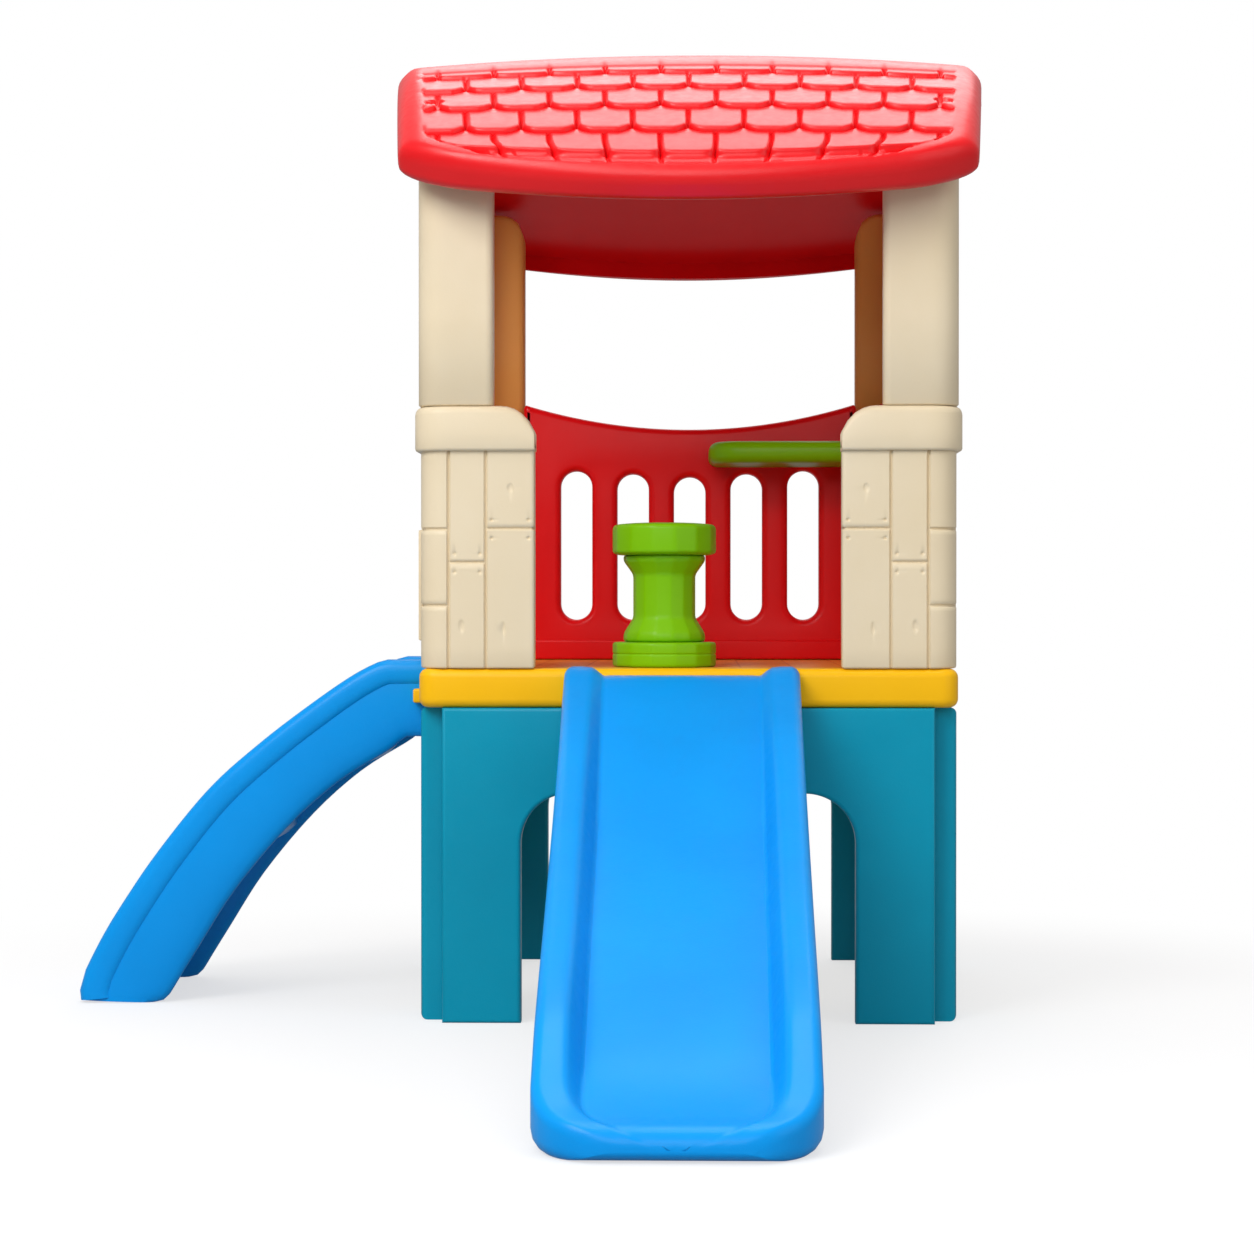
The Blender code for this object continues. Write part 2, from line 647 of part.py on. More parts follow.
def slide_ring(distance):
    """One closed section of the slide: a bed between two rails, flat underneath."""
    share = distance / SLIDE_REACH
    half = SLIDE_TOP_HALF + (SLIDE_FOOT_HALF - SLIDE_TOP_HALF) * share
    into_end = distance - (SLIDE_REACH - SLIDE_END_ROUND)
    if into_end > 0:
        half -= SLIDE_END_ROUND - math.sqrt(max(SLIDE_END_ROUND ** 2 - into_end ** 2, 0.0))
    rail = smooth_value(SLIDE_RAIL, distance)
    bed = smooth_value(SLIDE_BED, distance)
    under = max(smooth_value(SLIDE_UNDER, distance), 0.0)
    high = rail - bed
    wall_foot = half - RAIL_TOP_WIDE - RAIL_WALL
    side = [
        (wall_foot - BED_FILLET, bed),
        (wall_foot, bed + 0.12 * high),
        (half - RAIL_TOP_WIDE, bed + 0.82 * high),
        (half - RAIL_TOP_WIDE + RAIL_ROUND / 2, rail),
        (half - RAIL_ROUND, rail),
        (half - 0.3 * RAIL_ROUND, rail - min(0.4 * RAIL_ROUND, (rail - under) / 4)),
        (half, rail - min(1.1 * RAIL_ROUND, (rail - under) / 2)),
        (half, under),
    ]
    right = [(SLIDE_MID + x, z) for x, z in side]
    left = [(SLIDE_MID - x, z) for x, z in reversed(side)]
    y = -TOWER_HALF - GAP - distance * (SLIDE_REACH - GAP) / SLIDE_REACH
    return [(x, y, z) for x, z in left + right]


def make_slide():
    bm = loft([slide_ring(distance) for distance in slide_stations()])
    slide = add_part("slide", mesh_of(bm, "slide"), "blue")
    inner, outer = -TOWER_HALF + LEDGE_REACH, -TOWER_HALF - LEDGE_REACH - GAP
    space = box_mesh("slide_ledge_space", ((SLIDE_MID - SLIDE_LEDGE_HALF - GAP, outer, LEDGE_LOW / 2),
                                           (SLIDE_MID + SLIDE_LEDGE_HALF + GAP, inner, LEDGE_TOP + GAP)))
    cut(slide, add_cutter(space.name, space))


# The climber

def climber_rail_outline():
    hook_end = -TOWER_HALF - GAP
    round_off = CLIMBER_FOOT_ROUND
    foot = arc((round_off - CLIMBER_REACH, round_off), round_off, 270, 180, 3)
    ends = [(hook_end, CLIMBER_UPPER[-1][1]), (hook_end, CLIMBER_UNDER[0][1])]
    return foot + list(CLIMBER_UPPER) + ends + list(CLIMBER_UNDER)


def climber_step_outline():
    """A stair between the rails, a skin's thickness deep, with the top step over the ledge."""
    hook_end = -TOWER_HALF - GAP
    top = STEP_NOSES[-1][1]
    upper = [STEP_NOSES[0]]
    for nose, following in zip(STEP_NOSES[1:], STEP_NOSES[2:]):
        upper += [nose, (following[0] + STEP_OVERLAP, nose[1])]
    upper += [STEP_NOSES[-1], (hook_end, top)]
    lower = [(hook_end, top - STEP_SKIN)]
    for nose, before in zip(reversed(STEP_NOSES[1:]), reversed(STEP_NOSES[:-1])):
        x = nose[0] + STEP_SKIN
        low = before[1] - STEP_SKIN
        lower += [(x, nose[1] - STEP_SKIN), (x, low + STEP_BEVEL), (x - STEP_BEVEL, low)]
    foot = (STEP_NOSES[1][0] + STEP_SKIN - STEP_FOOT, 0.0)
    return upper + lower[:-2] + [foot]


def make_climber():
    rail_middle = CLIMBER_HALF - CLIMBER_RAIL_WIDE / 2
    steps_wide = 2 * CLIMBER_HALF - 1.6 * CLIMBER_RAIL_WIDE
    climber = add_part("climber", flat_mesh("climber", [climber_step_outline()], steps_wide), "blue")
    stand_up(climber, "y", CLIMBER_MID)
    round_edges(climber, STEP_EDGE)
    for name, middle in (("near_rail", CLIMBER_MID - rail_middle), ("far_rail", CLIMBER_MID + rail_middle)):
        rail = add_cutter(name, flat_mesh(name, [climber_rail_outline()], CLIMBER_RAIL_WIDE))
        round_edges(rail, CLIMBER_EDGE)
        stand_up(rail, "y", middle)
        join(climber, rail)
    inner, outer = -TOWER_HALF + LEDGE_REACH, -TOWER_HALF - LEDGE_REACH - GAP
    space = box_mesh("climber_ledge_space", ((outer, -LEDGE_HALF, LEDGE_LOW / 2),
                                             (inner, LEDGE_HALF, LEDGE_TOP + GAP)))
    cut(climber, add_cutter(space.name, space))


# The table top and the stool

def make_table():
    face = WALL_FACE - WALL_THICK - GAP
    near = face - TABLE_DEEP
    outline = [(face, near), (face, face), (TABLE_LEFT, face)]
    outline += arc((TABLE_LEFT + TABLE_CORNER, near + TABLE_CORNER), TABLE_CORNER, 180, 270, 6)
    table = add_part("table_top", flat_mesh("table_top", [outline], TABLE_TOP - TABLE_LOW), "green")
    table.location.z = (TABLE_LOW + TABLE_TOP) / 2
    round_edges(table, TABLE_EDGE, 3)


def make_stool():
    """Base disc, hollow waisted column and seat disc, each plugged into the next."""
    base = [(0.0, STOOL_BASE_HIGH + SPIGOT_HIGH), (SPIGOT_RADIUS, STOOL_BASE_HIGH + SPIGOT_HIGH),
            (SPIGOT_RADIUS, STOOL_BASE_HIGH), (DISC_RADIUS - BASE_EDGE, STOOL_BASE_HIGH),
            (DISC_RADIUS, STOOL_BASE_HIGH - BASE_EDGE), (DISC_RADIUS, BASE_EDGE),
            (DISC_RADIUS - BASE_EDGE, 0.0), (0.0, 0.0)]
    seat = [(0.0, STOOL_HIGH), (DISC_RADIUS - SEAT_EDGE, STOOL_HIGH),
            (DISC_RADIUS - SEAT_EDGE / 4, STOOL_HIGH - SEAT_EDGE / 3), (DISC_RADIUS, STOOL_HIGH - SEAT_EDGE),
            (DISC_RADIUS, STOOL_SEAT_LOW + BASE_EDGE), (DISC_RADIUS - BASE_EDGE, STOOL_SEAT_LOW),
            (SPIGOT_RADIUS, STOOL_SEAT_LOW), (SPIGOT_RADIUS, STOOL_SEAT_LOW - SPIGOT_HIGH),
            (0.0, STOOL_SEAT_LOW - SPIGOT_HIGH)]
    top, foot = STOOL_SEAT_LOW - GAP, STOOL_BASE_HIGH + GAP
    outer = [(COLUMN_RADIUS, top), (COLUMN_RADIUS, FLARE_TOP), (WAIST_RADIUS, WAIST_TOP),
             (WAIST_RADIUS, WAIST_LOW), (COLUMN_RADIUS, FLARE_LOW), (COLUMN_RADIUS, foot)]
    inner = [(SPIGOT_RADIUS + GAP, foot), (SPIGOT_RADIUS + GAP, top)]
    column = outer + inner
    for name, profile in (("stool_base", base), ("stool_column", column), ("stool_seat", seat)):
        mesh = turned_mesh(name, profile, closed=profile is column)
        piece = spin(add_part(name, mesh, "green"), STOOL_SIDES)
        piece.location = (STOOL_X, STOOL_Y, DECK_TOP + GAP)


# Screws

def make_screw(name, head, direction, length, clamped):
    """A pan head screw with its head's top at a point, and its bore in the pieces it clamps."""
    aim = Vector((0.0, 0.0, -1.0)).rotation_difference(Vector(direction))
    turn = (aim @ Quaternion((0.0, 0.0, 1.0), SCREW_TWIST)).to_euler()
    shank_end = -SCREW_HEAD_HIGH - length
    profile = [(0.0, 0.0), (0.7 * SCREW_HEAD, 0.0), (SCREW_HEAD, -0.4 * SCREW_HEAD_HIGH),
               (SCREW_HEAD, -SCREW_HEAD_HIGH), (SCREW_SHANK, -SCREW_HEAD_HIGH),
               (SCREW_SHANK, shank_end + 1.5 * SCREW_SHANK), (0.0, shank_end)]
    head_bore, shank_bore = SCREW_HEAD + BORE_ROOM, SCREW_SHANK + BORE_ROOM
    bore = [(0.0, BORE_MOUTH), (head_bore, BORE_MOUTH), (head_bore, -SCREW_HEAD_HIGH - BORE_ROOM),
            (shank_bore, -SCREW_HEAD_HIGH - BORE_ROOM), (shank_bore, shank_end - BORE_ROOM),
            (0.0, shank_end - BORE_ROOM)]
    screw = spin(add_part(name, turned_mesh(name, profile), "steel"), SCREW_STEPS)
    cutter = spin(add_cutter(f"{name}_bore", turned_mesh(f"{name}_bore", bore)), SCREW_STEPS)
    for obj in (screw, cutter):
        obj.location = head
        obj.rotation_euler = turn
    for piece in clamped:
        cut(parts.objects[piece], cutter)


def make_base_screws():
    head_x = BASE_SIDE_OUT - BASE_SIDE_THICK - GAP - FLANGE_THICK + HEAD_INSET
    y = TOWER_HALF - BASE_WIDE_THICK - FLANGE_DEEP / 2
    for name, side_x, side_y in CORNERS:
        wide = "base_front_panel" if side_y < 0 else "base_back_panel"
        side = "base_left_panel" if side_x < 0 else "base_right_panel"
        for level, z in BASE_SCREW_LEVELS:
            make_screw(f"{name}_{level}_base_screw", (side_x * head_x, side_y * y, z), (side_x, 0, 0),
                       BASE_SCREW_LONG, (wide, side))


def make_post_screws():
    inner = PILLAR_OUT - PILLAR_THICK - BAND_INNER_PROUD
    for name, side_x, side_y in CORNERS:
        head = (side_x * POST_SCREW_OUT, side_y * (inner + HEAD_INSET), PILLAR_TOP - POST_SCREW_DOWN)
        make_screw(f"{name}_post_screw", head, (0, side_y, 0), POST_SCREW_LONG,
                   (f"{name}_pillar", f"{name}_post"))


def make_wall_screws():
    head = PILLAR_OUT - HEAD_INSET
    for level, z in WALL_SCREW_LEVELS:
        for name, x in (("back_left", -WALL_SCREW_OUT), ("back_right", WALL_SCREW_OUT)):
            make_screw(f"back_wall_{level}_{name[5:]}_screw", (x, head, z), (0, -1, 0), WALL_SCREW_LONG,
                       (f"{name}_pillar", "back_wall"))
        for name, y in (("front_right", -WALL_SCREW_OUT), ("back_right", WALL_SCREW_OUT)):
            make_screw(f"right_wall_{level}_{name[:-6]}_screw", (head, y, z), (-1, 0, 0), WALL_SCREW_LONG,
                       (f"{name}_pillar", "right_wall"))


def make_roof_screws():
    x = POST_OUT - POST_THICK / 2
    angle = math.asin(ROOF_SCREW_OUT / ROOF_RADIUS + math.sin(RIDGE_ANGLE))
    surface = roof_point(x, ROOF_RADIUS * (angle - RIDGE_ANGLE), 0.0, 1)[2]
    for name, side_x, side_y in CORNERS:
        half = "roof_front" if side_y < 0 else "roof_back"
        head = (side_x * x, side_y * ROOF_SCREW_OUT, surface - ROOF_SCREW_INSET)
        make_screw(f"{name}_roof_screw", head, (0, 0, -1), ROOF_SCREW_LONG, (half, f"{name}_post"))


def make_ridge_screws():
    """Screws through the deep rims of both halves, with their heads on the front rim's inner face."""
    for name, x in RIDGE_SCREWS:
        z = roof_point(x, 0.0, 0.0, 1)[2] - RIDGE_SCREW_DEPTH
        make_screw(f"{name}_ridge_screw", (x, -RIDGE_SCREW_HEAD, z), (0, 1, 0), RIDGE_SCREW_LONG,
                   ("roof_front", "roof_back"))


def make_hook_screws():
    out = TOWER_HALF + LEDGE_REACH / 2
    low = LEDGE_LOW + HEAD_INSET
    for name, along in HOOK_SCREWS:
        make_screw(f"slide_{name}_screw", (SLIDE_MID + along, -out, low), (0, 0, 1), HOOK_SCREW_LONG,
                   ("deck", "slide"))
        make_screw(f"climber_{name}_screw", (-out, CLIMBER_MID + along, low), (0, 0, 1), HOOK_SCREW_LONG,
                   ("deck", "climber"))


def make_table_screws():
    middle = (TABLE_LOW + TABLE_TOP) / 2
    head = WALL_FACE - HEAD_INSET
    for name, x in TABLE_SCREWS_BACK:
        make_screw(f"table_back_{name}_screw", (x, head, middle), (0, -1, 0), TABLE_SCREW_LONG,
                   ("back_wall", "table_top"))
    make_screw("table_side_screw", (head, TABLE_SCREW_SIDE, middle), (-1, 0, 0), TABLE_SCREW_LONG,
               ("right_wall", "table_top"))


CORNERS = (("front_left", -1, -1), ("front_right", 1, -1), ("back_left", -1, 1), ("back_right", 1, 1))

clear_scene()
parts = new_collection("Playhouse with slide")
cutters = new_collection("Cutters")
materials = {name: make_material(name, *look) for name, look in MATERIALS.items()}
tower = add_object("tower_origin", None, parts)
tower.location = (-MIDDLE_X, -MIDDLE_Y, 0.0)

make_base()
make_deck()
make_corners()
make_walls()
make_roof()
make_slide()
make_climber()
make_table()
make_stool()
make_base_screws()
make_post_screws()
make_wall_screws()
make_roof_screws()
make_ridge_screws()
make_hook_screws()
make_table_screws()
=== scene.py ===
import math
import bmesh
import bpy
from mathutils import Matrix, Vector


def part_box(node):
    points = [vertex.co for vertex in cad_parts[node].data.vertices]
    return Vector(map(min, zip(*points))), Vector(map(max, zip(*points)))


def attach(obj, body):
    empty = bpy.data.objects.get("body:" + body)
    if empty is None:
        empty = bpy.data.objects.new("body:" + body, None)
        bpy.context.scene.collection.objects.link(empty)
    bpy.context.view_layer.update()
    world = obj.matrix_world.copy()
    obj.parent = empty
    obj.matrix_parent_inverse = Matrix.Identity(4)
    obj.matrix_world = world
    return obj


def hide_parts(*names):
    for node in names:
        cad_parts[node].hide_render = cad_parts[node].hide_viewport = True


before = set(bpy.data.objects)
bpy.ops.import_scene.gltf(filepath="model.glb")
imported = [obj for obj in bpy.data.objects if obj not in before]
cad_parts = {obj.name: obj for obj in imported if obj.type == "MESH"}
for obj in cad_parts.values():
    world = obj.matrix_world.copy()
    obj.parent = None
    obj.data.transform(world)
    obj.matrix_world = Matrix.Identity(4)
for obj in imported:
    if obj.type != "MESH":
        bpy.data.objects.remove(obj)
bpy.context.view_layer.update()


# Tools

def toLinear(hexColour):
    values = [int(hexColour[i:i + 2], 16) / 255 for i in (1, 3, 5)]
    return [v / 12.92 if v <= 0.04045 else ((v + 0.055) / 1.055) ** 2.4 for v in values] + [1.0]


def addNode(tree, kind, settings=None, links=None):
    # a link's source is a socket, or a node whose first output is meant
    node = tree.nodes.new("ShaderNode" + kind)
    for name, value in (settings or {}).items():
        if isinstance(name, int) or name in node.inputs:
            node.inputs[name].default_value = value
        else:
            setattr(node, name, value)
    for name, source in (links or {}).items():
        tree.links.new(getattr(source, "outputs", [source])[0], node.inputs[name])
    return node


def startMaterial(name, settings):
    # a material with its shader set, and the place on the piece that patterns are laid by
    material = bpy.data.materials.new(name)
    material.use_nodes = True
    tree = material.node_tree
    shader = tree.nodes["Principled BSDF"]
    for socket, value in settings.items():
        shader.inputs[socket].default_value = value
    return material, tree, shader, addNode(tree, "TexCoord").outputs["Object"]


def middle(node):
    low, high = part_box(node)
    return (low + high) / 2


def clamped(value):
    return min(max(value, 0.0), 1.0)


def smooth(value, start=0.0, end=1.0):
    t = clamped((value - start) / (end - start))
    return t * t * (3 - 2 * t)


def throughPoints(points, at):
    # the height of a smooth curve through a few points
    last = len(points) - 1
    slopes = []
    for i in range(last + 1):
        before, after = points[max(i - 1, 0)], points[min(i + 1, last)]
        slopes.append((after[1] - before[1]) / (after[0] - before[0]))
    i = 0
    while i < last - 1 and at > points[i + 1][0]:
        i += 1
    (x0, z0), (x1, z1) = points[i], points[i + 1]
    span = x1 - x0
    t = clamped((at - x0) / span)
    start = (2 * t ** 3 - 3 * t ** 2 + 1) * z0 + (t ** 3 - 2 * t ** 2 + t) * span * slopes[i]
    return start + (3 * t ** 2 - 2 * t ** 3) * z1 + (t ** 3 - t ** 2) * span * slopes[i + 1]


def roundedOff(radius, distance):
    # how far a rounded corner draws an edge in, at a distance from the corner's end
    return radius - math.sqrt(max(radius ** 2 - max(radius - distance, 0.0) ** 2, 0.0))


def arc(centre, radius, start, end, steps):
    turns = [math.radians(start + (end - start) * i / steps) for i in range(steps + 1)]
    return [(centre[0] + radius * math.cos(a), centre[1] + radius * math.sin(a)) for a in turns]


# the tower stands on its own origin, which the base panels give
towerOrigin = Vector((middle("base_back_panel").x, middle("base_left_panel").y, 0.0))
sameSpot = 1e-5     # points closer than this are merged
clear = 0.0003      # gap left between two pieces that meet


def newObject(name, mesh):
    obj = bpy.data.objects.new(name, mesh)
    bpy.context.scene.collection.objects.link(obj)
    obj.location = towerOrigin
    return obj


def smoothed(bm, mesh, sharp=50):
    # the edited mesh, smooth but for edges sharper than an angle in degrees
    bm.to_mesh(mesh)
    bm.free()
    mesh.shade_smooth()
    mesh.set_sharp_from_angle(angle=math.radians(sharp))
    return mesh


def meshOf(name, vertices, faces, sharp=50):
    mesh = bpy.data.meshes.new(name)
    mesh.from_pydata(vertices, [], faces)
    bm = bmesh.new()
    bm.from_mesh(mesh)
    bmesh.ops.remove_doubles(bm, verts=bm.verts, dist=sameSpot)
    bmesh.ops.recalc_face_normals(bm, faces=bm.faces)
    if bm.calc_volume(signed=True) < 0:
        bmesh.ops.reverse_faces(bm, faces=bm.faces)
    return smoothed(bm, mesh, sharp)


def addPiece(name, mesh, shade, node, body="tower"):
    # a piece of the visual model, which stands for one CAD node
    obj = newObject(name, mesh)
    obj.data.materials.append(finishes[shade])
    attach(obj, body)
    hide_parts(node)


def ringFaces(rings, count):
    faces = []
    for i in range(len(rings) - 1):
        for k in range(count):
            n = (k + 1) % count
            faces.append((rings[i] + k, rings[i] + n, rings[i + 1] + n, rings[i + 1] + k))
    return faces


def lathe(name, profile, steps, shape):
    # a turned body: the profile runs from the axis to the axis, and shape scales each point's radius
    rings = []
    for radius, height in profile:
        ring = []
        for k in range(steps):
            turn = 2 * math.pi * k / steps
            r = radius * shape(turn, radius, height)
            ring.append((r * math.cos(turn), r * math.sin(turn), height))
        rings.append(ring)
    return loftMesh(name, rings, sharp=40)


def loftMesh(name, rings, sharp=50):
    # a skin over rings of equally many points, closed at both ends
    vertices, starts = [], []
    for ring in rings:
        starts.append(len(vertices))
        vertices += ring
    count = len(rings[0])
    faces = ringFaces(starts, count)
    faces += [tuple(range(count)), tuple(starts[-1] + k for k in range(count))]
    return meshOf(name, vertices, faces, sharp)


def plateMesh(name, outlines, thick, edge, facing, at, rounds=5):
    # a flat plate with holes and rolled edges, which faces along x, y or z and has its middle at a place there
    curve = bpy.data.curves.new(name, "CURVE")
    curve.dimensions = "2D"
    curve.fill_mode = "BOTH"
    curve.extrude = thick / 2 - edge
    curve.bevel_depth = edge
    curve.bevel_resolution = rounds
    curve.offset = -edge
    for outline in outlines:
        spline = curve.splines.new("POLY")
        spline.points.add(len(outline) - 1)
        for point, (x, y) in zip(spline.points, outline):
            point.co = (x, y, 0.0, 1.0)
        spline.use_cyclic_u = True
    drawn = bpy.data.objects.new(name, curve)
    bpy.context.scene.collection.objects.link(drawn)
    bpy.context.view_layer.update()
    mesh = bpy.data.meshes.new_from_object(drawn.evaluated_get(bpy.context.evaluated_depsgraph_get()))
    bpy.data.objects.remove(drawn)
    bpy.data.curves.remove(curve)
    mesh.name = name
    bm = bmesh.new()
    bm.from_mesh(mesh)
    bmesh.ops.remove_doubles(bm, verts=bm.verts, dist=sameSpot)
    smoothed(bm, mesh)
    quarter = math.radians(90)
    turn = Matrix.Identity(4) if facing == "z" else Matrix.Rotation(quarter, 4, "X")
    if facing == "x":
        turn = Matrix.Rotation(quarter, 4, "Z") @ turn
    mesh.transform(Matrix.Translation([at * (facing == axis) for axis in "xyz"]) @ turn)
    return mesh


def joined(name, meshes):
    bm = bmesh.new()
    for mesh in meshes:
        bm.from_mesh(mesh)
    return smoothed(bm, bpy.data.meshes.new(name))


def bar(name, low, high, edge=0.003):
    # a small block with rolled edges
    outline = [(low[0], low[1]), (high[0], low[1]), (high[0], high[1]), (low[0], high[1])]
    return plateMesh(name, [outline], high[2] - low[2], edge, "z", (low[2] + high[2]) / 2, 3)


# Materials

def mouldedPlastic(name, colour, deeper, look):
    # rotomoulded polyethylene: a soft satin skin with the mould's fine pebble and slow drifts in shade
    material, tree, shader, place = startMaterial(name, {
        "IOR": 1.51, "Coat Weight": look["coat"], "Coat Roughness": 0.22, "Specular IOR Level": look["shine"]})
    drift = addNode(tree, "TexNoise", {"Scale": 5.0, "Detail": 3.0}, {"Vector": place})
    shade = addNode(tree, "MapRange", {"From Min": 0.3, "From Max": 0.7, "To Max": look["drift"]},
                    {"Value": drift})
    worn = addNode(tree, "TexNoise", {"Scale": 60.0, "Detail": 5.0, "Roughness": 0.6}, {"Vector": place})
    specks = addNode(tree, "MapRange", {"From Min": 0.62, "From Max": 0.78, "To Max": 0.10}, {"Value": worn})
    both = addNode(tree, "Math", {"operation": "ADD"}, {0: shade, 1: specks})
    tint = addNode(tree, "Mix", {"data_type": "RGBA", 6: toLinear(colour), 7: toLinear(deeper)},
                   {"Factor": both})
    tree.links.new(tint.outputs[2], shader.inputs["Base Color"])
    # handled plastic is polished in patches, so the roughness wanders a little
    satin = addNode(tree, "MapRange", {"From Min": 0.3, "From Max": 0.7, "To Min": look["rough"] - 0.05,
                                       "To Max": look["rough"] + 0.06}, {"Value": worn})
    tree.links.new(satin.outputs["Result"], shader.inputs["Roughness"])
    # pebble of about 3 mm, drawn coarser than the real 1 mm so that it shows from a step away
    pebble = addNode(tree, "TexVoronoi", {"Scale": 330.0, "feature": "SMOOTH_F1", "Smoothness": 0.8},
                     {"Vector": place})
    grain = addNode(tree, "Bump", {"Strength": look["pebble"], "Distance": 0.0006}, {"Height": pebble})
    # slow waves from the wall cooling unevenly in the mould
    waves = addNode(tree, "TexNoise", {"Scale": 9.0, "Detail": 1.0}, {"Vector": place})
    sway = addNode(tree, "Bump", {"Strength": look["sway"], "Distance": 0.004},
                   {"Height": waves, "Normal": grain})
    tree.links.new(sway.outputs["Normal"], shader.inputs["Normal"])
    return material


def zincPlate(name, colour, deeper):
    # bright zinc plate: fine spangle and a slightly brushed, clouded shine
    material, tree, shader, place = startMaterial(name, {"Metallic": 1.0})
    spangle = addNode(tree, "TexVoronoi", {"Scale": 700.0}, {"Vector": place})
    tint = addNode(tree, "Mix", {"data_type": "RGBA", 6: toLinear(colour), 7: toLinear(deeper)},
                   {"Factor": spangle})
    tree.links.new(tint.outputs[2], shader.inputs["Base Color"])
    rough = addNode(tree, "MapRange", {"To Min": 0.22, "To Max": 0.42}, {"Value": spangle})
    tree.links.new(rough.outputs["Result"], shader.inputs["Roughness"])
    return material


plasticLook = {"coat": 0.07, "shine": 0.14, "drift": 0.5, "rough": 0.34, "pebble": 0.14, "sway": 0.14}
roofLook = {**plasticLook, "coat": 0.16, "shine": 0.34}
# each plastic's colour, the deeper tone that it drifts to, and its slot in the record
colours = {
    "red": ("#E81318", "#DC0D12", "red_plastic"),
    "roof": ("#E60B15", "#D8070F", "red_plastic"),
    "cream": ("#E6D6B8", "#DDCAA6", "cream_plastic"),
    # painted shade: the cream plastic in a deeper tan, standing in for the shade and warm bounced light on the
    # back posts
    "cream_painted_shade": ("#DC9A50", "#D08C40", "cream_plastic"),
    "yellow": ("#F9BE10", "#F2B207", "yellow_plastic"),
    "teal": ("#0094B2", "#0088A6", "teal_plastic"),
    "blue": ("#0098EC", "#008BDC", "blue_plastic"),
    "green": ("#7DC005", "#73B304", "green_plastic"),
}
finishes, slots = {}, {}
for tone, (main, second, slot) in colours.items():
    look = roofLook if tone == "roof" else plasticLook
    finishes[tone] = mouldedPlastic(f"{tone}_polyethylene_moulded", main, second, look)
    slots[tone] = slot
finishes["steel"] = zincPlate("steel_zinc_plated", "#C4C7CA", "#8E9296")
slots["steel"] = "steel_screw"

# painted reflection: the floor's orange stands in for red light bounced off the back wall; the darker lines are
# the boards' joints
deckBounceAndBoards = {"colour": "#EF9C38", "line": "#D9822A", "half": 0.362, "level": 0.5985, "board": 0.090,
             "joint": 0.002}


def tintDeckBounceAndBoards(material):
    # the deck's floor is painted a warmer orange than its rim, a painted reflection of the red back wall, with
    # faint lines where boards would meet
    d = deckBounceAndBoards
    tree = material.node_tree
    shader = tree.nodes["Principled BSDF"]
    plain = shader.inputs["Base Color"].links[0].from_socket
    place = addNode(tree, "TexCoord").outputs["Object"]
    x, y, z = addNode(tree, "SeparateXYZ", None, {"Vector": place}).outputs
    sides = [addNode(tree, "Math", {"operation": "ABSOLUTE"}, {0: axis}) for axis in (x, y)]
    widest = addNode(tree, "Math", {"operation": "MAXIMUM"}, {0: sides[0], 1: sides[1]})
    within = addNode(tree, "Math", {"operation": "LESS_THAN", 1: d["half"]}, {0: widest})
    above = addNode(tree, "Math", {"operation": "GREATER_THAN", 1: d["level"]}, {0: z})
    mask = addNode(tree, "Math", {"operation": "MULTIPLY"}, {0: within, 1: above})
    board = addNode(tree, "Math", {"operation": "PINGPONG", 1: d["board"] / 2}, {0: x})
    joint = addNode(tree, "Math", {"operation": "LESS_THAN", 1: d["joint"]}, {0: board})
    floor = addNode(tree, "Mix", {"data_type": "RGBA", 6: toLinear(d["colour"]), 7: toLinear(d["line"])},
                    {"Factor": joint})
    tint = addNode(tree, "Mix", {"data_type": "RGBA"}, {"Factor": mask, 6: plain, 7: floor.outputs[2]})
    tree.links.new(tint.outputs[2], shader.inputs["Base Color"])


tintDeckBounceAndBoards(finishes["yellow"])
print("materials made")


# The base

base = {
    "top": 0.5337, "wideHalf": 0.4165, "wideThick": 0.042, "half": 0.457, "edge": 0.007,
    "sideOut": 0.4565, "sideThick": 0.060, "sideEdge": 0.012,
    "archHalf": 0.283, "archTop": 0.389, "archRound": 0.085,
    "flangeThick": 0.025, "flangeDeep": 0.055, "flangeLow": 0.040, "flangeTop": 0.500,
}


def archOutline(half):
    b = base
    side, turnRound = b["archHalf"] - b["archRound"], b["archRound"]
    spring = b["archTop"] - turnRound
    left, right = arc((-side, spring), turnRound, 180, 90, 20), arc((side, spring), turnRound, 90, 0, 20)
    feet = [(-half, b["top"]), (-half, 0.0), (-b["archHalf"], 0.0)]
    return feet + left + right + [(b["archHalf"], 0.0), (half, 0.0), (half, b["top"])]


def makeBase():
    b = base
    sideEnd = b["half"] - b["wideThick"] - clear
    flangeAt = b["sideOut"] - b["sideThick"] - clear - b["flangeThick"] / 2
    for name, side in (("base_front_panel", -1), ("base_back_panel", 1)):
        middleAt = side * (b["half"] - b["wideThick"] / 2)
        plate = plateMesh(name, [archOutline(b["wideHalf"])], b["wideThick"], b["edge"], "y", middleAt)
        y0, y1 = sorted((side * (sideEnd - b["flangeDeep"]), middleAt))
        # the flanges that the side panels are screwed to
        flanges = [bar(name, (x - b["flangeThick"] / 2, y0, b["flangeLow"]),
                       (x + b["flangeThick"] / 2, y1, b["flangeTop"])) for x in (-flangeAt, flangeAt)]
        addPiece(name + "_plate", joined(name, [plate] + flanges), "teal", name)
    for name, side in (("base_left_panel", -1), ("base_right_panel", 1)):
        middleAt = side * (b["sideOut"] - b["sideThick"] / 2)
        plate = plateMesh(name, [archOutline(sideEnd)], b["sideThick"], b["sideEdge"], "x", middleAt)
        addPiece(name + "_plate", plate, "teal", name)


makeBase()
print("base made")


# The corners

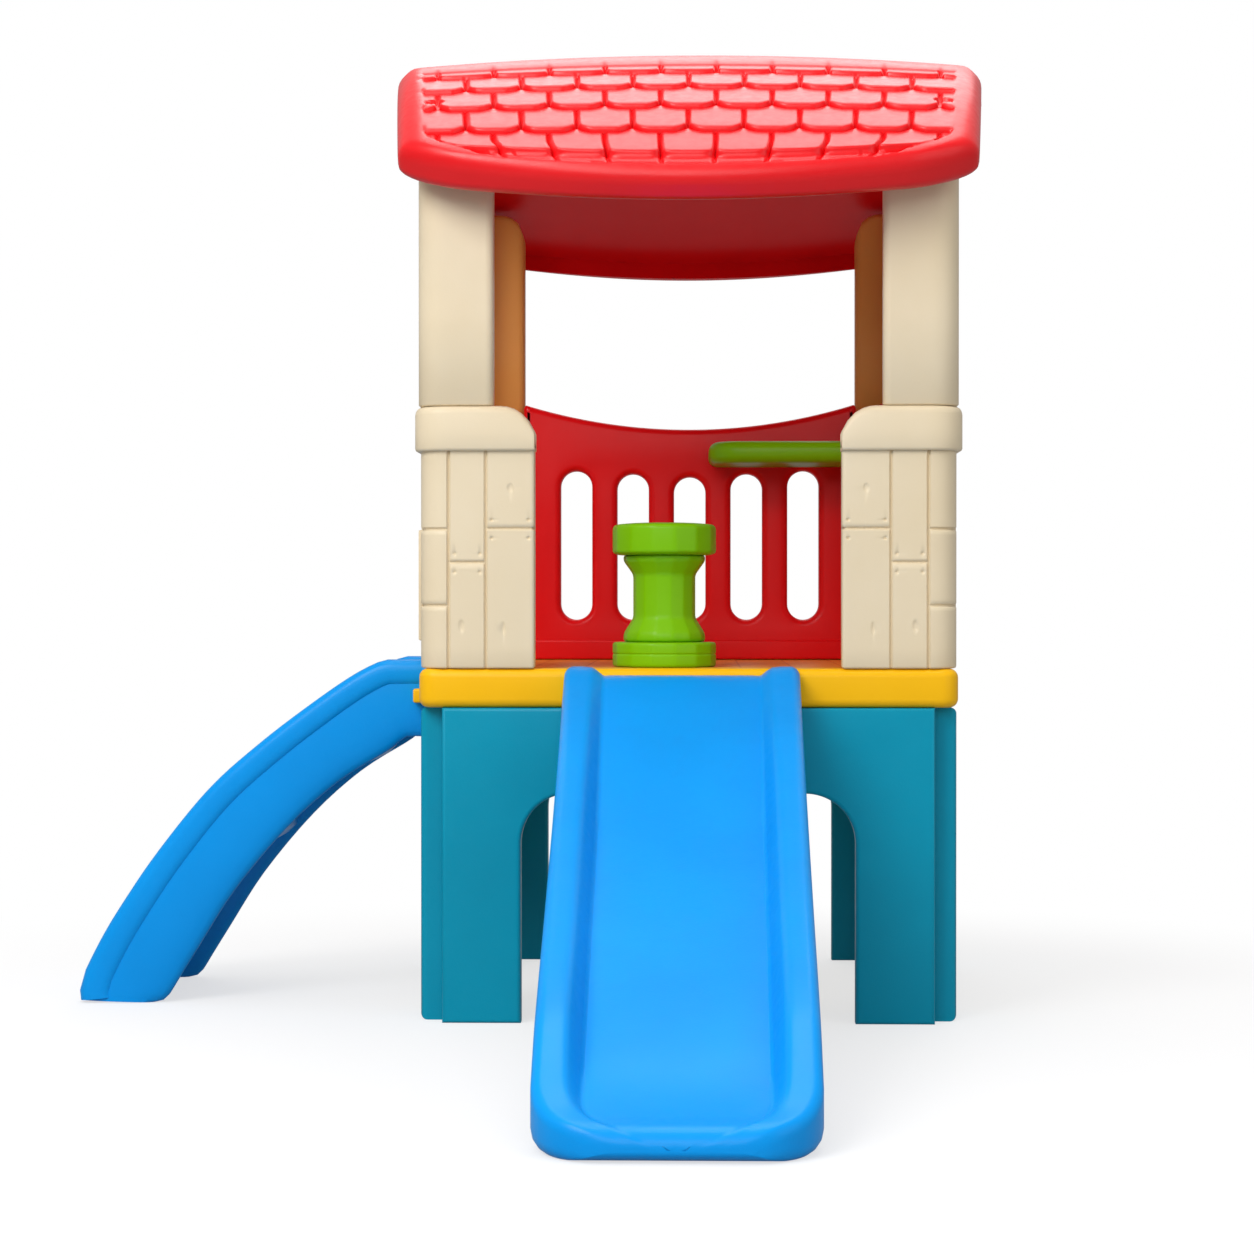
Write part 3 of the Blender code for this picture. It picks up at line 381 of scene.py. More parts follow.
pillar = {
    "out": 0.4555, "leg": 0.196, "thick": 0.042, "low": 0.6003, "top": 1.044, "round": 0.045, "endRound": 0.006,
    "bandLow": 0.968, "bandProud": 0.010, "capRound": 0.057, "capThinner": 0.002,
    "grooves": (0.405, 0.342), "grooveHalf": 0.0036, "grooveDeep": 0.0056,
    "joints": ((0.836, 0.707), (0.780,), (0.837,)),     # outer, middle and inner plank
    "nailDeep": 0.0034, "nailRadius": 0.0042, "nailIn": 0.010, "nailOver": 0.0145, "nailUnder": 0.0165,
    "edgeIn": 0.020, "jointShallower": 0.8,
    # shallow knocks in the planks: along the leg, height, half width, half height
    "chips": ((0.383, 0.672, 0.0055, 0.012), (0.300, 0.905, 0.006, 0.009), (0.432, 0.918, 0.0075, 0.005),
              (0.312, 0.668, 0.004, 0.013)), "chipDeep": 0.0022,
    # a raised board on the outer face of the left pillars
    "boardFrom": 0.120, "boardTo": 0.052, "boardLow": 0.647, "boardTop": 0.836, "boardProud": 0.005,
}
post = {"out": 0.4590, "leg": 0.130, "thick": 0.045, "low": 1.0443, "top": 1.486, "rise": 0.067,
        "round": 0.045, "endRound": 0.012, "capRound": 0.050}


def cornerPlan(p, faceStops, thinner=0.0):
    # pairs of outer and inner points from the front leg's end, round the corner, to the side leg's end
    out, turnRound, endRound, fillet = p["out"], p["round"], p["endRound"], 0.010
    near, far = out - (p["thick"] - thinner), out - p["leg"]
    pairs = []
    for a in [math.radians(degrees) for degrees in (0, 22, 45, 68, 90)]:
        along, inset = endRound * (1 - math.cos(a)), endRound * (1 - math.sin(a))
        pairs.append(((far + along, out - inset), (far + along, near + inset), "front"))
    for x in sorted(faceStops):
        if far + endRound < x < out - turnRound:
            pairs.append(((x, out), (min(x, near - 0.010), near), "front"))
    # the side leg is the front leg with x and y swapped
    back = [((oy, ox), (iy, ix), "side") for (ox, oy), (ix, iy), _ in reversed(pairs)]
    for a in [math.radians(90 - 90 * i / 8) for i in range(9)]:
        outer = (out - turnRound + turnRound * math.cos(a), out - turnRound + turnRound * math.sin(a))
        inner = (near - fillet + fillet * math.cos(a), near - fillet + fillet * math.sin(a))
        pairs.append((outer, inner, "turn"))
    return pairs + back


def nailPlaces():
    # two nails above and two below each joint, near the plank's edges
    p = pillar
    edges = (p["out"] - p["edgeIn"], *p["grooves"], p["out"] - p["leg"])
    places = []
    for plank, heights in enumerate(p["joints"]):
        left, right = edges[plank], edges[plank + 1]
        for z in heights:
            for x in (left - p["nailIn"], right + p["nailIn"]):
                places += [(x, z + p["nailOver"]), (x, z - p["nailUnder"])]
    return places


def pillarRelief(x, z, nails):
    # how far the plank face is let in at a distance x along the leg and a height z
    p = pillar
    deep = 0.0
    for groove in p["grooves"]:
        deep = max(deep, p["grooveDeep"] * (1 - smooth(abs(x - groove), 0.0004, p["grooveHalf"])))
    plank = 0 if x > p["grooves"][0] else 1 if x > p["grooves"][1] else 2
    for joint in p["joints"][plank]:
        inJoint = 1 - smooth(abs(z - joint), 0.0004, p["grooveHalf"])
        deep = max(deep, p["jointShallower"] * p["grooveDeep"] * inJoint)
    for nx, nz in nails:
        away = math.hypot(x - nx, z - nz)
        if away < p["nailRadius"]:
            deep = max(deep, p["nailDeep"] * (1 - smooth(away, 0.0006, p["nailRadius"])))
    for cx, cz, wide, high in p["chips"]:
        away = math.hypot((x - cx) / wide, (z - cz) / high)
        deep = max(deep, p["chipDeep"] * (1 - smooth(away, 0.5, 1.0)))
    return deep


def around(places, reach, steps):
    return [place + reach * k / steps for place in places for k in range(-steps, steps + 1)]


def thinned(values, least):
    kept = []
    for value in sorted(values):
        if not kept or value - kept[-1] >= least:
            kept.append(value)
    return kept


def cornerMesh(pairs, levels, height, relief=None, least=0.0):
    # a wall round a corner, seen from its outer side; each level is (height, how far the skin stands out)
    vertices, rings = [], []
    count = 2 * len(pairs)
    for level in levels:
        rings.append(len(vertices))
        for side, row in ((0, pairs), (1, pairs[::-1])):
            for k, pair in enumerate(row):
                here, before, after = pair[side], row[max(k - 1, 0)][side], row[min(k + 1, len(row) - 1)][side]
                along = Vector((after[0] - before[0], after[1] - before[1])).normalized()
                z = height(pair, level)
                out = level[1]
                if relief and side == 0:
                    # the turn counts as the outer plank
                    out -= relief({"front": here[0], "side": here[1], "turn": 0.6}[pair[2]], z)
                vertices.append((max(here[0] - along.y * out, least), max(here[1] + along.x * out, least), z))
    faces = ringFaces(rings, count)
    for ring in (rings[0], rings[-1]):
        for k in range(len(pairs) - 1):
            faces.append((ring + k, ring + k + 1, ring + count - 2 - k, ring + count - 1 - k))
    return vertices, faces


def cornerPart(name, part, sx, sy):
    vertices, faces = part
    return meshOf(name, [(sx * x, sy * y, z) for x, y, z in vertices], faces, sharp=60)


def endDrop(p, pair):
    # how far the top is rounded off at a pair of points, by its distance from the leg's free end
    if pair[2] == "turn":
        return 0.0
    return roundedOff(p["capRound"], min(pair[0]) - (p["out"] - p["leg"]))


corners = (("front_left", -1, -1), ("front_right", 1, -1), ("back_left", -1, 1), ("back_right", 1, 1))


def reliefStops(axis, joints, nails, plain):
    # where the mesh needs points along the leg (axis 0) or up it (axis 1), for grooves, nails and knocks
    p = pillar
    stops = around(joints, p["grooveHalf"], 3) + around([nail[axis] for nail in nails], p["nailRadius"], 2)
    for chip in p["chips"]:
        stops += around([chip[axis]], chip[2 + axis], 3)
    return thinned(stops + plain, 0.0007)


def pillarBody():
    p = pillar
    nails, low = nailPlaces(), p["low"]
    stops = reliefStops(0, p["grooves"], nails, [0.275 + 0.02 * k for k in range(7)])
    pairs = cornerPlan(p, stops)
    joints = [z for plank in p["joints"] for z in plank]
    walls = reliefStops(1, joints, nails, [low + 0.006 + 0.03 * k for k in range(12)])
    levels = [(low, -0.004), (low + 0.0012, -0.0012), (low + 0.004, 0.0)]
    levels += [(z, 0.0) for z in walls if low + 0.006 < z < p["bandLow"] - 0.004]
    levels.append((p["bandLow"] + 0.002, 0.0))
    return cornerMesh(pairs, levels, lambda pair, level: level[0], lambda x, z: pillarRelief(x, z, nails))


def pillarCrown():
    # the band that caps a pillar, which drops away over the leg's free end
    p = pillar
    proud, low, top = p["bandProud"], p["bandLow"], p["top"]
    levels = [(low + 0.0005, -0.002), (low, proud - 0.005), (low + 0.0015, proud - 0.0015),
              (low + 0.005, proud), (low + 0.030, proud), (top - 0.014, proud), (top - 0.0085, proud - 0.0012),
              (top - 0.004, proud - 0.004), (top - 0.0012, proud - 0.0085), (top, proud - 0.014)]
    pairs = cornerPlan(p, [0.27 + 0.012 * k for k in range(12)], p["capThinner"])

    def height(pair, level):
        return level[0] - endDrop(p, pair) * smooth(level[0], low + 0.005, top - 0.010)

    return cornerMesh(pairs, levels, height, least=p["out"] - p["leg"] - 0.001)


def postUpright():
    # a post, whose side leg climbs with the roof
    q = post
    low, top = q["low"], q["top"]
    pairs = cornerPlan(q, [0.342 + 0.012 * k for k in range(7)])
    levels = [(low, -0.003), (low + 0.003, 0.0), (1.2, 0.0), (1.35, 0.0), (top - 0.012, 0.0),
              (top - 0.0065, -0.0012), (top - 0.002, -0.005), (top, -0.010)]

    def height(pair, level):
        share = smooth(level[0], low + 0.1, top - 0.012)
        climb = 0.0
        if pair[2] == "side":
            inwards = (q["out"] - q["round"] - pair[0][1]) / (q["leg"] - q["round"])
            climb = q["rise"] * clamped(inwards)
        return level[0] + share * (climb - endDrop(q, pair))

    return cornerMesh(pairs, levels, height)


def makeCorners():
    p = pillar
    body, crown, upright = pillarBody(), pillarCrown(), postUpright()
    for name, sx, sy in corners:
        parts = [cornerPart(name, part, sx, sy) for part in (body, crown)]
        if sx < 0:
            y0, y1 = sorted((sy * (p["out"] - p["boardFrom"]), sy * (p["out"] - p["boardTo"])))
            parts.append(bar("board", (-p["out"] - p["boardProud"], y0, p["boardLow"]),
                             (0.004 - p["out"], y1, p["boardTop"])))
        addPiece(f"{name}_pillar_wall", joined(name, parts), "cream", f"{name}_pillar")
        # painted shade: the back posts take the tan copy of the cream plastic, standing in for the shade they
        # sit in
        shade = "cream" if sy < 0 else "cream_painted_shade"
        addPiece(f"{name}_post_wall", cornerPart(name, upright, sx, sy), shade, f"{name}_post")


makeCorners()
print("pillars and posts made")


# The slotted walls

wall = {
    "half": 0.3285, "thick": 0.045, "face": 0.4127, "low": 0.6003, "topEnd": 1.105, "topMid": 1.055,
    "round": 0.010, "edge": 0.013, "bandTop": 0.639, "bandProud": 0.003, "bandEdge": 0.004, "bandIn": 0.001,
    "pitch": 0.112, "slotHalf": 0.031, "slotLow": 0.679, "slotTop": 0.961, "slotRise": 0.006,
}


def wallOutlines():
    w = wall
    rise, inner = w["topEnd"] - w["topMid"], w["half"] - w["round"]
    top = [(x, w["topMid"] + rise * (x / w["half"]) ** 2) for x in [inner * (1 - i / 20) for i in range(41)]]
    outline = [(-w["half"], w["low"]), (w["half"], w["low"])]
    outline += arc((inner, w["topEnd"] - w["round"]), w["round"], 0, 60, 4) + top[1:-1]
    outline += arc((-inner, w["topEnd"] - w["round"]), w["round"], 120, 180, 4)
    slots = []
    for i in range(-2, 3):
        x, upper = i * w["pitch"], w["slotTop"] + abs(i) * w["slotRise"] - w["slotHalf"]
        slots.append(arc((x, upper), w["slotHalf"], 0, 180, 20)
                     + arc((x, w["slotLow"] + w["slotHalf"]), w["slotHalf"], 180, 360, 20))
    return [outline] + slots


def makeWalls():
    w = wall
    at = w["face"] - w["thick"] / 2
    half, low, high = w["half"] - w["bandIn"], w["low"] + w["bandIn"], w["bandTop"]
    strip = [(-half, low), (half, low), (half, high), (-half, high)]
    for name, facing in (("back_wall", "y"), ("right_wall", "x")):
        plate = plateMesh(name, wallOutlines(), w["thick"], w["edge"], facing, at, 6)
        band = plateMesh(name, [strip], w["thick"] + 2 * w["bandProud"], w["bandEdge"], facing, at)
        addPiece(name + "_panel", joined(name, [plate, band]), "red", name)


makeWalls()
print("walls made")


# The roof

roof = {
    "ridgeTop": 1.722, "ridgeAngle": math.radians(14.5), "eaveAngle": math.radians(37.0), "slope": 0.700,
    "bow": 0.076, "knee": 0.575, "droop": 0.025, "rim": 0.074, "sheet": 0.032, "gap": 0.00015, "lowEdge": 0.002,
    "ridgeHalf": 0.5475, "eaveHalf": 0.483, "narrower": 0.009, "ridgeRound": 0.050, "eaveRound": 0.112,
    # the tiles: their height over the field, and how far their lower edges draw up at the corners
    "tileHigh": 0.0130, "tilePitch": 0.191, "grooveDeep": 0.0045, "scallop": 0.017, "ridgeScallop": 0.35,
    "tileEnds": (0.140, 0.218, 0.336, 0.447, 0.556, 0.650),
    "dishAt": (0.4365, 0.375), "dishRadius": 0.0175, "dishDeep": 0.0125, "dishWall": 0.005,
    # the rim's roll: how wide it is at the sides, the eave and the ridge, and how deep it turns down
    "sideRoll": 0.044, "eaveRoll": 0.0440, "ridgeRoll": 0.014,
    "rollHigh": 0.036, "ridgeHigh": 0.006, "lowRoll": 0.60,
    # the field's border: how far in it lies at the sides, the eave and the ridge, and its corners
    "fieldSide": 0.0475, "fieldEave": 0.0240, "fieldRidge": 0.150, "fieldRound": 0.135, "fieldWall": 0.0036,
    "fieldDeep": 0.0100,
    # for each ring of points, how far it lies in from the sides, the eave and the ridge
    "rings": ((0.0, 0.0, 0.0), (0.0, 0.0, 0.0), (0.0010, 0.0007, 0.001), (0.0035, 0.0023, 0.003),
              (0.008, 0.0052, 0.006), (0.014, 0.0092, 0.010), (0.022, 0.0140, 0.020), (0.032, 0.0172, 0.060),
              (0.0438, 0.0183, 0.1463), (0.0463, 0.0208, 0.1488), (0.0487, 0.0232, 0.1512),
              (0.0512, 0.0257, 0.1537)),
    "halfWide": 0.52,   # turns distances from the sides into shares of the half width
}
roofRadius = roof["slope"] / (roof["eaveAngle"] - roof["ridgeAngle"])


def roofPoint(x, along, deeper, side, straight=False):
    # a point along the arched slope and at a depth under its skin; the ridge's edge stands straight
    r = roof
    angle = r["ridgeAngle"] + along / roofRadius
    y = roofRadius * (math.sin(angle) - math.sin(r["ridgeAngle"]))
    z = r["ridgeTop"] - roofRadius * (math.cos(r["ridgeAngle"]) - math.cos(angle)) - deeper * math.cos(angle)
    z -= r["droop"] * (x / r["ridgeHalf"]) ** 2 * (1 - along / r["slope"])
    y = max(y, r["gap"]) if straight else y - deeper * math.sin(angle)
    return (x, side * y, z)


def tileColumns():
    # shares of the half width, close together at every joint, in the field's corners and at the screws' dishes
    r = roof
    half = r["tilePitch"] / 2
    near = (0.0, 0.04, 0.08, 0.14, 0.22, 0.34, 0.50, 0.66, 0.78, 0.87, 0.93)    # across half a tile
    inside = 1 - r["rings"][-1][0] / r["halfWide"]
    shares = [half * (k + share) for k in range(10) for share in near]
    shares += [0.74 + 0.010 * k for k in range(8)] + [0.815 + 0.006 * k for k in range(14)]
    shares = thinned([s for s in shares if s < inside - 0.003], 0.0035)
    return [-s for s in reversed(shares) if s > 0.001] + shares


def tileRows():
    # distances along the slope, close together at each row's lower edge and at the dishes
    r = roof
    rows = []
    shares = (0.004, 0.03, 0.10, 0.22, 0.38, 0.54, 0.68, 0.79, 0.87, 0.92, 0.95, 0.972, 0.986, 0.996)
    for start, end in zip(r["tileEnds"], r["tileEnds"][1:]):
        rows += [start + (end - start) * share for share in shares]
    rows += [0.372 + 0.005 * k for k in range(11)] + [0.590 + 0.009 * k for k in range(9)]
    return [a for a in thinned(rows, 0.0012) if 0.1545 < a < r["slope"] - r["rings"][-1][1] - 0.001]


def offMiddle(share, row):
    # how far a point lies from the middle of its tile; a joint is at 0.5, and every other row is shifted
    shift = 0.5 if row % 2 == 0 else 0.0
    return abs((share / roof["tilePitch"] + shift) % 1.0 - 0.5)


def tileHeight(share, along):
    # height of the tiles over the field: each rises to its rolled lower edge and falls into its joints
    r = roof
    ends = r["tileEnds"]
    row = max(k for k in range(len(ends) - 1) if along >= ends[k] or k == 0)
    start, end = ends[row], ends[row + 1]
    nearest = offMiddle(share, row)
    if row == len(ends) - 2:    # the last row's corners are rounded here, and the others' by scallopAt
        corner = clamped((nearest - 0.30) / 0.20)
        end -= 0.6 * r["scallop"] * (1 - math.sqrt(1 - corner ** 2))
    t = clamped((along - start) / (end - start))
    fromJoint = (0.5 - nearest) * r["tilePitch"] * r["halfWide"]
    high = r["tileHigh"] * (0.42 + 0.58 * t) * smooth(t, -0.01, 0.045)  # lower where the next row up covers it
    nose = (t - 0.92) / 0.08    # the last twelfth rolls over
    if nose > 0:
        high *= math.sqrt(max(1 - nose ** 2.6, 0.0))
    side = smooth(fromJoint, 0.0005, 0.0050)    # a joint's half width
    return high * side - r["grooveDeep"] * (1 - side) * (0.2 + 0.8 * t)


def scallopAt(share, along):
    # lower edges are drawn up towards the tiles' corners, less so at the ridge and not at the eave
    r = roof
    shift = 0.0
    for row, end in enumerate(r["tileEnds"][1:-1]):
        corner = clamped((offMiddle(share, row) - 0.26) / 0.24)
        weight = 1 - smooth((end - along) / 0.085 if along <= end else (along - end) / 0.060)
        shift += r["scallop"] * (r["ridgeScallop"] if row == 0 else 1.0) * corner ** 1.25 * weight
    return shift


def rollDepth(fromSide, fromEave, fromRidge):
    # how deep the rim's roll lies at a distance from the sides, the eave and the ridge
    r = roof
    if fromEave < fromRidge:
        turnRound, down, wide, high = r["eaveRound"], fromEave, r["eaveRoll"], r["rollHigh"]
    else:
        turnRound, down, wide, high = r["ridgeRound"], fromRidge, r["ridgeRoll"], r["ridgeHigh"]
    across, own = max(turnRound - fromSide, 0.0), max(turnRound - down, 0.0)
    if across == 0.0 and own == 0.0:
        return 0.0
    share = across ** 2 / (across ** 2 + own ** 2)
    wide += (r["sideRoll"] - wide) * share
    high += (r["rollHigh"] - high) * share
    t = clamped((turnRound - math.hypot(across, own)) / wide)
    return high * (1 - math.sqrt(max(1 - (1 - t) ** 2, 0.0)))


def fieldShare(fromSide, fromEave, fromRidge):
    # one inside the tiled field and nothing outside it, over a short wall with rounded lower corners
    r = roof
    a, b = fromSide - r["fieldSide"], fromEave - r["fieldEave"]
    turnRound = r["fieldRound"]
    inside = min(a, b)
    if a < turnRound and b < turnRound:
        inside = turnRound - math.hypot(turnRound - a, turnRound - b)
    inside = min(inside, fromRidge - r["fieldRidge"])
    return smooth(inside, -r["fieldWall"], r["fieldWall"])


def roofHalf(name, node, side, narrower):
    r = roof
    rings, longest = r["rings"], r["slope"]
    count = len(rings)
    # rows and columns are rings of the rim or lines of the tiled field, each with its number or place
    columns = [("ring", k, -1) for k in range(count)] + [("tile", share, 0) for share in tileColumns()]
    columns += [("ring", k, 1) for k in reversed(range(count))]
    rows = [("ridge", k) for k in range(count)] + [("tile", down) for down in tileRows()]
    rows += [("eave", k) for k in reversed(range(count))]
    lastRow, lastColumn = len(rows) - 1, len(columns) - 1

    def place(i, j, beneath=False):
        kind, value = rows[i]
        down = rings[value][2] if kind == "ridge" else longest - rings[value][1] if kind == "eave" else value
        flatWide = r["ridgeHalf"] + (r["eaveHalf"] - r["ridgeHalf"]) * down / longest - narrower
        wide = flatWide - roundedOff(r["eaveRound"], longest - down) - roundedOff(r["ridgeRound"], down)
        line, number, sign = columns[j]
        share = number if line == "tile" else sign * (1 - rings[number][0] / r["halfWide"])
        x = share * wide
        along = down
        if down > r["knee"]:
            # the slope is shorter towards the sides, which bows the eave
            squeezed = longest - r["bow"] * (x / flatWide) ** 2
            along = r["knee"] + (down - r["knee"]) * (squeezed - r["knee"]) / (longest - r["knee"])
        ring = min(number if line == "ring" else count, value if kind != "tile" else count)
        straight = kind == "ridge" and rings[value][2] < 0.06
        roll = rollDepth(flatWide - abs(x), longest - down, down)
        low = r["rim"] - r["lowRoll"] * roll
        if beneath:
            return roofPoint(x, along, low if ring < count - 2 else r["sheet"], side, straight)
        if ring == 0:
            return roofPoint(x, along, low - r["lowEdge"], side, straight)
        field = fieldShare(flatWide - abs(x), longest - down, down)
        if field == 0.0:
            return roofPoint(x, along, roll, side, straight)
        high = tileHeight(share, down)
        along -= scallopAt(share, down) * field
        y = roofRadius * (math.sin(r["ridgeAngle"] + along / roofRadius) - math.sin(r["ridgeAngle"]))
        away = math.hypot(abs(x) - r["dishAt"][0], (y - r["dishAt"][1]) * 1.12)
        into = 1 - smooth(away, r["dishRadius"] - r["dishWall"], r["dishRadius"])
        high += (-r["dishDeep"] + r["fieldDeep"] - high) * into
        return roofPoint(x, along, roll + (r["fieldDeep"] - high) * field, side)

    def picked(total):
        # the underside needs few points: it turns down with the rim and steps up behind it
        edge = range(count)
        return list(edge) + list(range(count + 1, total - count, 3)) + [total - k for k in reversed(edge)]

    wide = lastColumn + 1
    vertices = [place(i, j) for i in range(lastRow + 1) for j in range(wide)]
    faces = []
    for a in [i * wide + j for i in range(lastRow) for j in range(lastColumn)]:
        faces.append((a, a + 1, a + wide + 1, a + wide))
    start = len(vertices)
    underRows, underColumns = picked(lastRow), picked(lastColumn)
    vertices += [place(i, j, True) for i in underRows for j in underColumns]
    span = len(underColumns)
    for a, (i0, i1) in enumerate(zip(underRows, underRows[1:])):
        for b in range(span - 1):
            k = start + a * span + b
            faces.append((k, k + span, k + span + 1, k + 1))
        for j, b in ((0, 0), (lastColumn, span - 1)):
            edge = [i * wide + j for i in range(i0, i1 + 1)]
            faces.append(tuple(edge + [start + (a + 1) * span + b, start + a * span + b]))
    for b, (j0, j1) in enumerate(zip(underColumns, underColumns[1:])):
        for i, a in ((0, 0), (lastRow, len(underRows) - 1)):
            edge = [i * wide + j for j in range(j0, j1 + 1)]
            faces.append(tuple(edge + [start + a * span + b + 1, start + a * span + b]))
    addPiece(name, meshOf(name, vertices, faces, sharp=65), "roof", node)


roofHalf("roof_front_shell", "roof_front", -1, roof["narrower"])
roofHalf("roof_back_shell", "roof_back", 1, 0.0)
print("roof made")


# The deck

deck = {"half": 0.457, "low": 0.534, "top": 0.600, "round": 0.030, "edge": 0.015,
        "ledgeReach": 0.0285, "ledgeLow": 0.535, "ledgeTop": 0.560, "ledgeEdge": 0.004,
        "climberLedgeHalf": 0.250, "slideLedgeHalf": 0.186, "slideLedgeMid": -0.010}


def makeDeck():
    d = deck
    inner = d["half"] - d["round"]
    outline = []
    for (sx, sy), start in zip(((1, 1), (-1, 1), (-1, -1), (1, -1)), (0, 90, 180, 270)):
        outline += arc((sx * inner, sy * inner), d["round"], start, start + 90, 10)
    slab = plateMesh("deck", [outline], d["top"] - d["low"], d["edge"], "z", (d["top"] + d["low"]) / 2, 6)
    # the ledges that the slide and the climber hook over
    root, tip = d["half"] - d["edge"] - d["ledgeReach"], d["half"] + d["ledgeReach"]
    low, top, edge = d["ledgeLow"], d["ledgeTop"], d["ledgeEdge"]
    mid, half = d["slideLedgeMid"], d["slideLedgeHalf"]
    front = bar("ledge", (mid - half, -tip, low), (mid + half, -root, top), edge)
    left = bar("ledge", (-tip, -d["climberLedgeHalf"], low), (-root, d["climberLedgeHalf"], top), edge)
    addPiece("deck_slab", joined("deck_slab", [slab, front, left]), "yellow", "deck")


makeDeck()
print("deck made")


# The slide

slide = {
    "mid": -0.010, "front": 0.457, "topHalf": 0.198, "footHalf": 0.190, "reach": 1.217, "endRound": 0.105,
    "railWide": 0.045, "wallLean": 0.017, "railRound": 0.016, "railFlat": 0.006,
    "lipRound": 0.026, "lowRound": 0.030, "noseFrom": 0.010, "noseRun": 0.036,
    # heights of the rails, the bed and the underside at distances from the deck
    "rail": ((0.0, 0.604), (0.03, 0.601), (0.08, 0.576), (0.40, 0.420), (0.71, 0.285), (1.00, 0.165),
             (1.08, 0.117), (1.15, 0.070), (1.19, 0.052), (1.217, 0.046)),
    "bed": ((0.0, 0.589), (0.03, 0.585), (0.08, 0.556), (0.40, 0.375), (0.71, 0.240), (1.00, 0.113),
            (1.08, 0.077), (1.15, 0.053), (1.19, 0.047), (1.217, 0.044)),
    "under": ((0.0, 0.535), (0.03, 0.520), (0.08, 0.498), (0.40, 0.328), (0.71, 0.190), (1.00, 0.063),
              (1.09, 0.0), (1.217, 0.0)),
    # the trough's wall: how far out of its foot, or of the rail's inner side, and the share of its height
    "wallFoot": ((-0.016, 0.0), (-0.010, -0.04), (-0.006, -0.05), (-0.002, 0.03), (0.001, 0.20), (0.006, 0.48)),
    "wallTop": ((-0.005, 0.76), (-0.001, 0.90)),
}


def slideStations():
    s = slide
    run = [0.0, 0.006, 0.015, 0.028, 0.042, 0.060, 0.080] + [0.10 + 0.90 * i / 30 for i in range(31)]
    foot = [1.02 + 0.015 * i for i in range(7)]
    end = [s["reach"] - s["endRound"] * (1 - math.sin(math.radians(6 * i))) for i in range(16)]
    return thinned(run + foot + end, 0.0002)


def slideRing(distance):
    s = slide
    half = s["topHalf"] + (s["footHalf"] - s["topHalf"]) * distance / s["reach"]
    half -= roundedOff(s["endRound"], s["reach"] - distance)
    rail, bed = throughPoints(s["rail"], distance), throughPoints(s["bed"], distance)
    under = max(throughPoints(s["under"], distance), 0.0)
    high = max(rail - bed, 0.0005)
    inner = half - s["railWide"]
    foot = inner - s["wallLean"]
    turn, low = min(s["railRound"], (rail - under) / 3), min(s["lowRound"], (rail - under) / 3)
    side = [(0.0, bed), (0.5 * foot, bed)] + [(foot + x, bed + share * high) for x, share in s["wallFoot"]]
    side += [(inner + x, bed + share * high) for x, share in s["wallTop"]]
    side += [(inner + 0.006, rail - 0.0008), (inner + 0.014, rail), (half - turn - s["railFlat"], rail)]
    side += [(half - turn + turn * math.sin(a), rail - turn + turn * math.cos(a))
             for a in [math.radians(15 * k) for k in range(7)]]
    # the foot is a rolled nose, rounded off above and below
    intoLip = distance - (s["reach"] - s["lipRound"])
    drop = roundedOff(s["lipRound"], s["reach"] - distance)
    under += low * (1 - math.sqrt(max(1 - max((intoLip + s["noseFrom"]) / s["noseRun"], 0.0) ** 2, 0.0)))
    side += [(half, (rail + under) / 2)]
    side += [(half - low + low * math.cos(a), under + low - low * math.sin(a))
             for a in [math.radians(22.5 * k) for k in range(5)]]
    side = [(x, max(z - drop, under)) for x, z in side]
    y = -s["front"] - clear - distance * (s["reach"] - clear) / s["reach"]
    return [(s["mid"] - x, y, z) for x, z in reversed(side[1:])] + [(s["mid"] + x, y, z) for x, z in side]


chute = loftMesh("slide_chute", [slideRing(distance) for distance in slideStations()], sharp=45)
addPiece("slide_chute", chute, "blue", "slide")
print("slide made")


# The climber

climber = {
    "reach": 1.087, "mid": -0.034, "half": 0.195, "railWide": 0.045, "footRound": 0.014, "hook": -0.4573,
    "upper": ((-1.074, 0.060), (-1.047, 0.113), (-1.013, 0.170), (-0.947, 0.267), (-0.854, 0.381),
              (-0.761, 0.464), (-0.669, 0.534), (-0.599, 0.582), (-0.553, 0.606), (-0.535, 0.611)),
    "under": ((-0.502, 0.473), (-0.529, 0.452), (-0.622, 0.394), (-0.715, 0.311), (-0.808, 0.200),
              (-0.873, 0.098), (-0.909, 0.040), (-0.925, 0.014), (-0.937, 0.003), (-0.950, 0.0)),
    "bandWide": 0.052, "bandProud": 0.0050, "bandFull": 3.0, "railFull": 2.5, "sections": 48,
    # the steps' front edges, and the skin that the steps are drawn with
    "noses": ((-1.062, 0.0), (-1.022, 0.150), (-0.905, 0.300), (-0.765, 0.450), (-0.575, 0.590)),
    "noseRound": 0.008, "treadIn": 0.012, "skin": 0.022, "bevel": 0.016, "stepFoot": 0.030,
}


def curved(points, steps):
    # a smooth line through a few points, by equal shares of each span
    line = []
    for i in range(len(points) - 1):
        p0 = Vector(points[max(i - 1, 0)])
        p1, p2 = Vector(points[i]), Vector(points[i + 1])
        p3 = Vector(points[min(i + 2, len(points) - 1)])
        for k in range(steps):
            t = k / steps
            value = 0.5 * (2 * p1 + (p2 - p0) * t + (2 * p0 - 5 * p1 + 4 * p2 - p3) * t ** 2
                           + (3 * p1 - p0 - 3 * p2 + p3) * t ** 3)
            line.append((value.x, value.y))
    return line + [tuple(points[-1])]


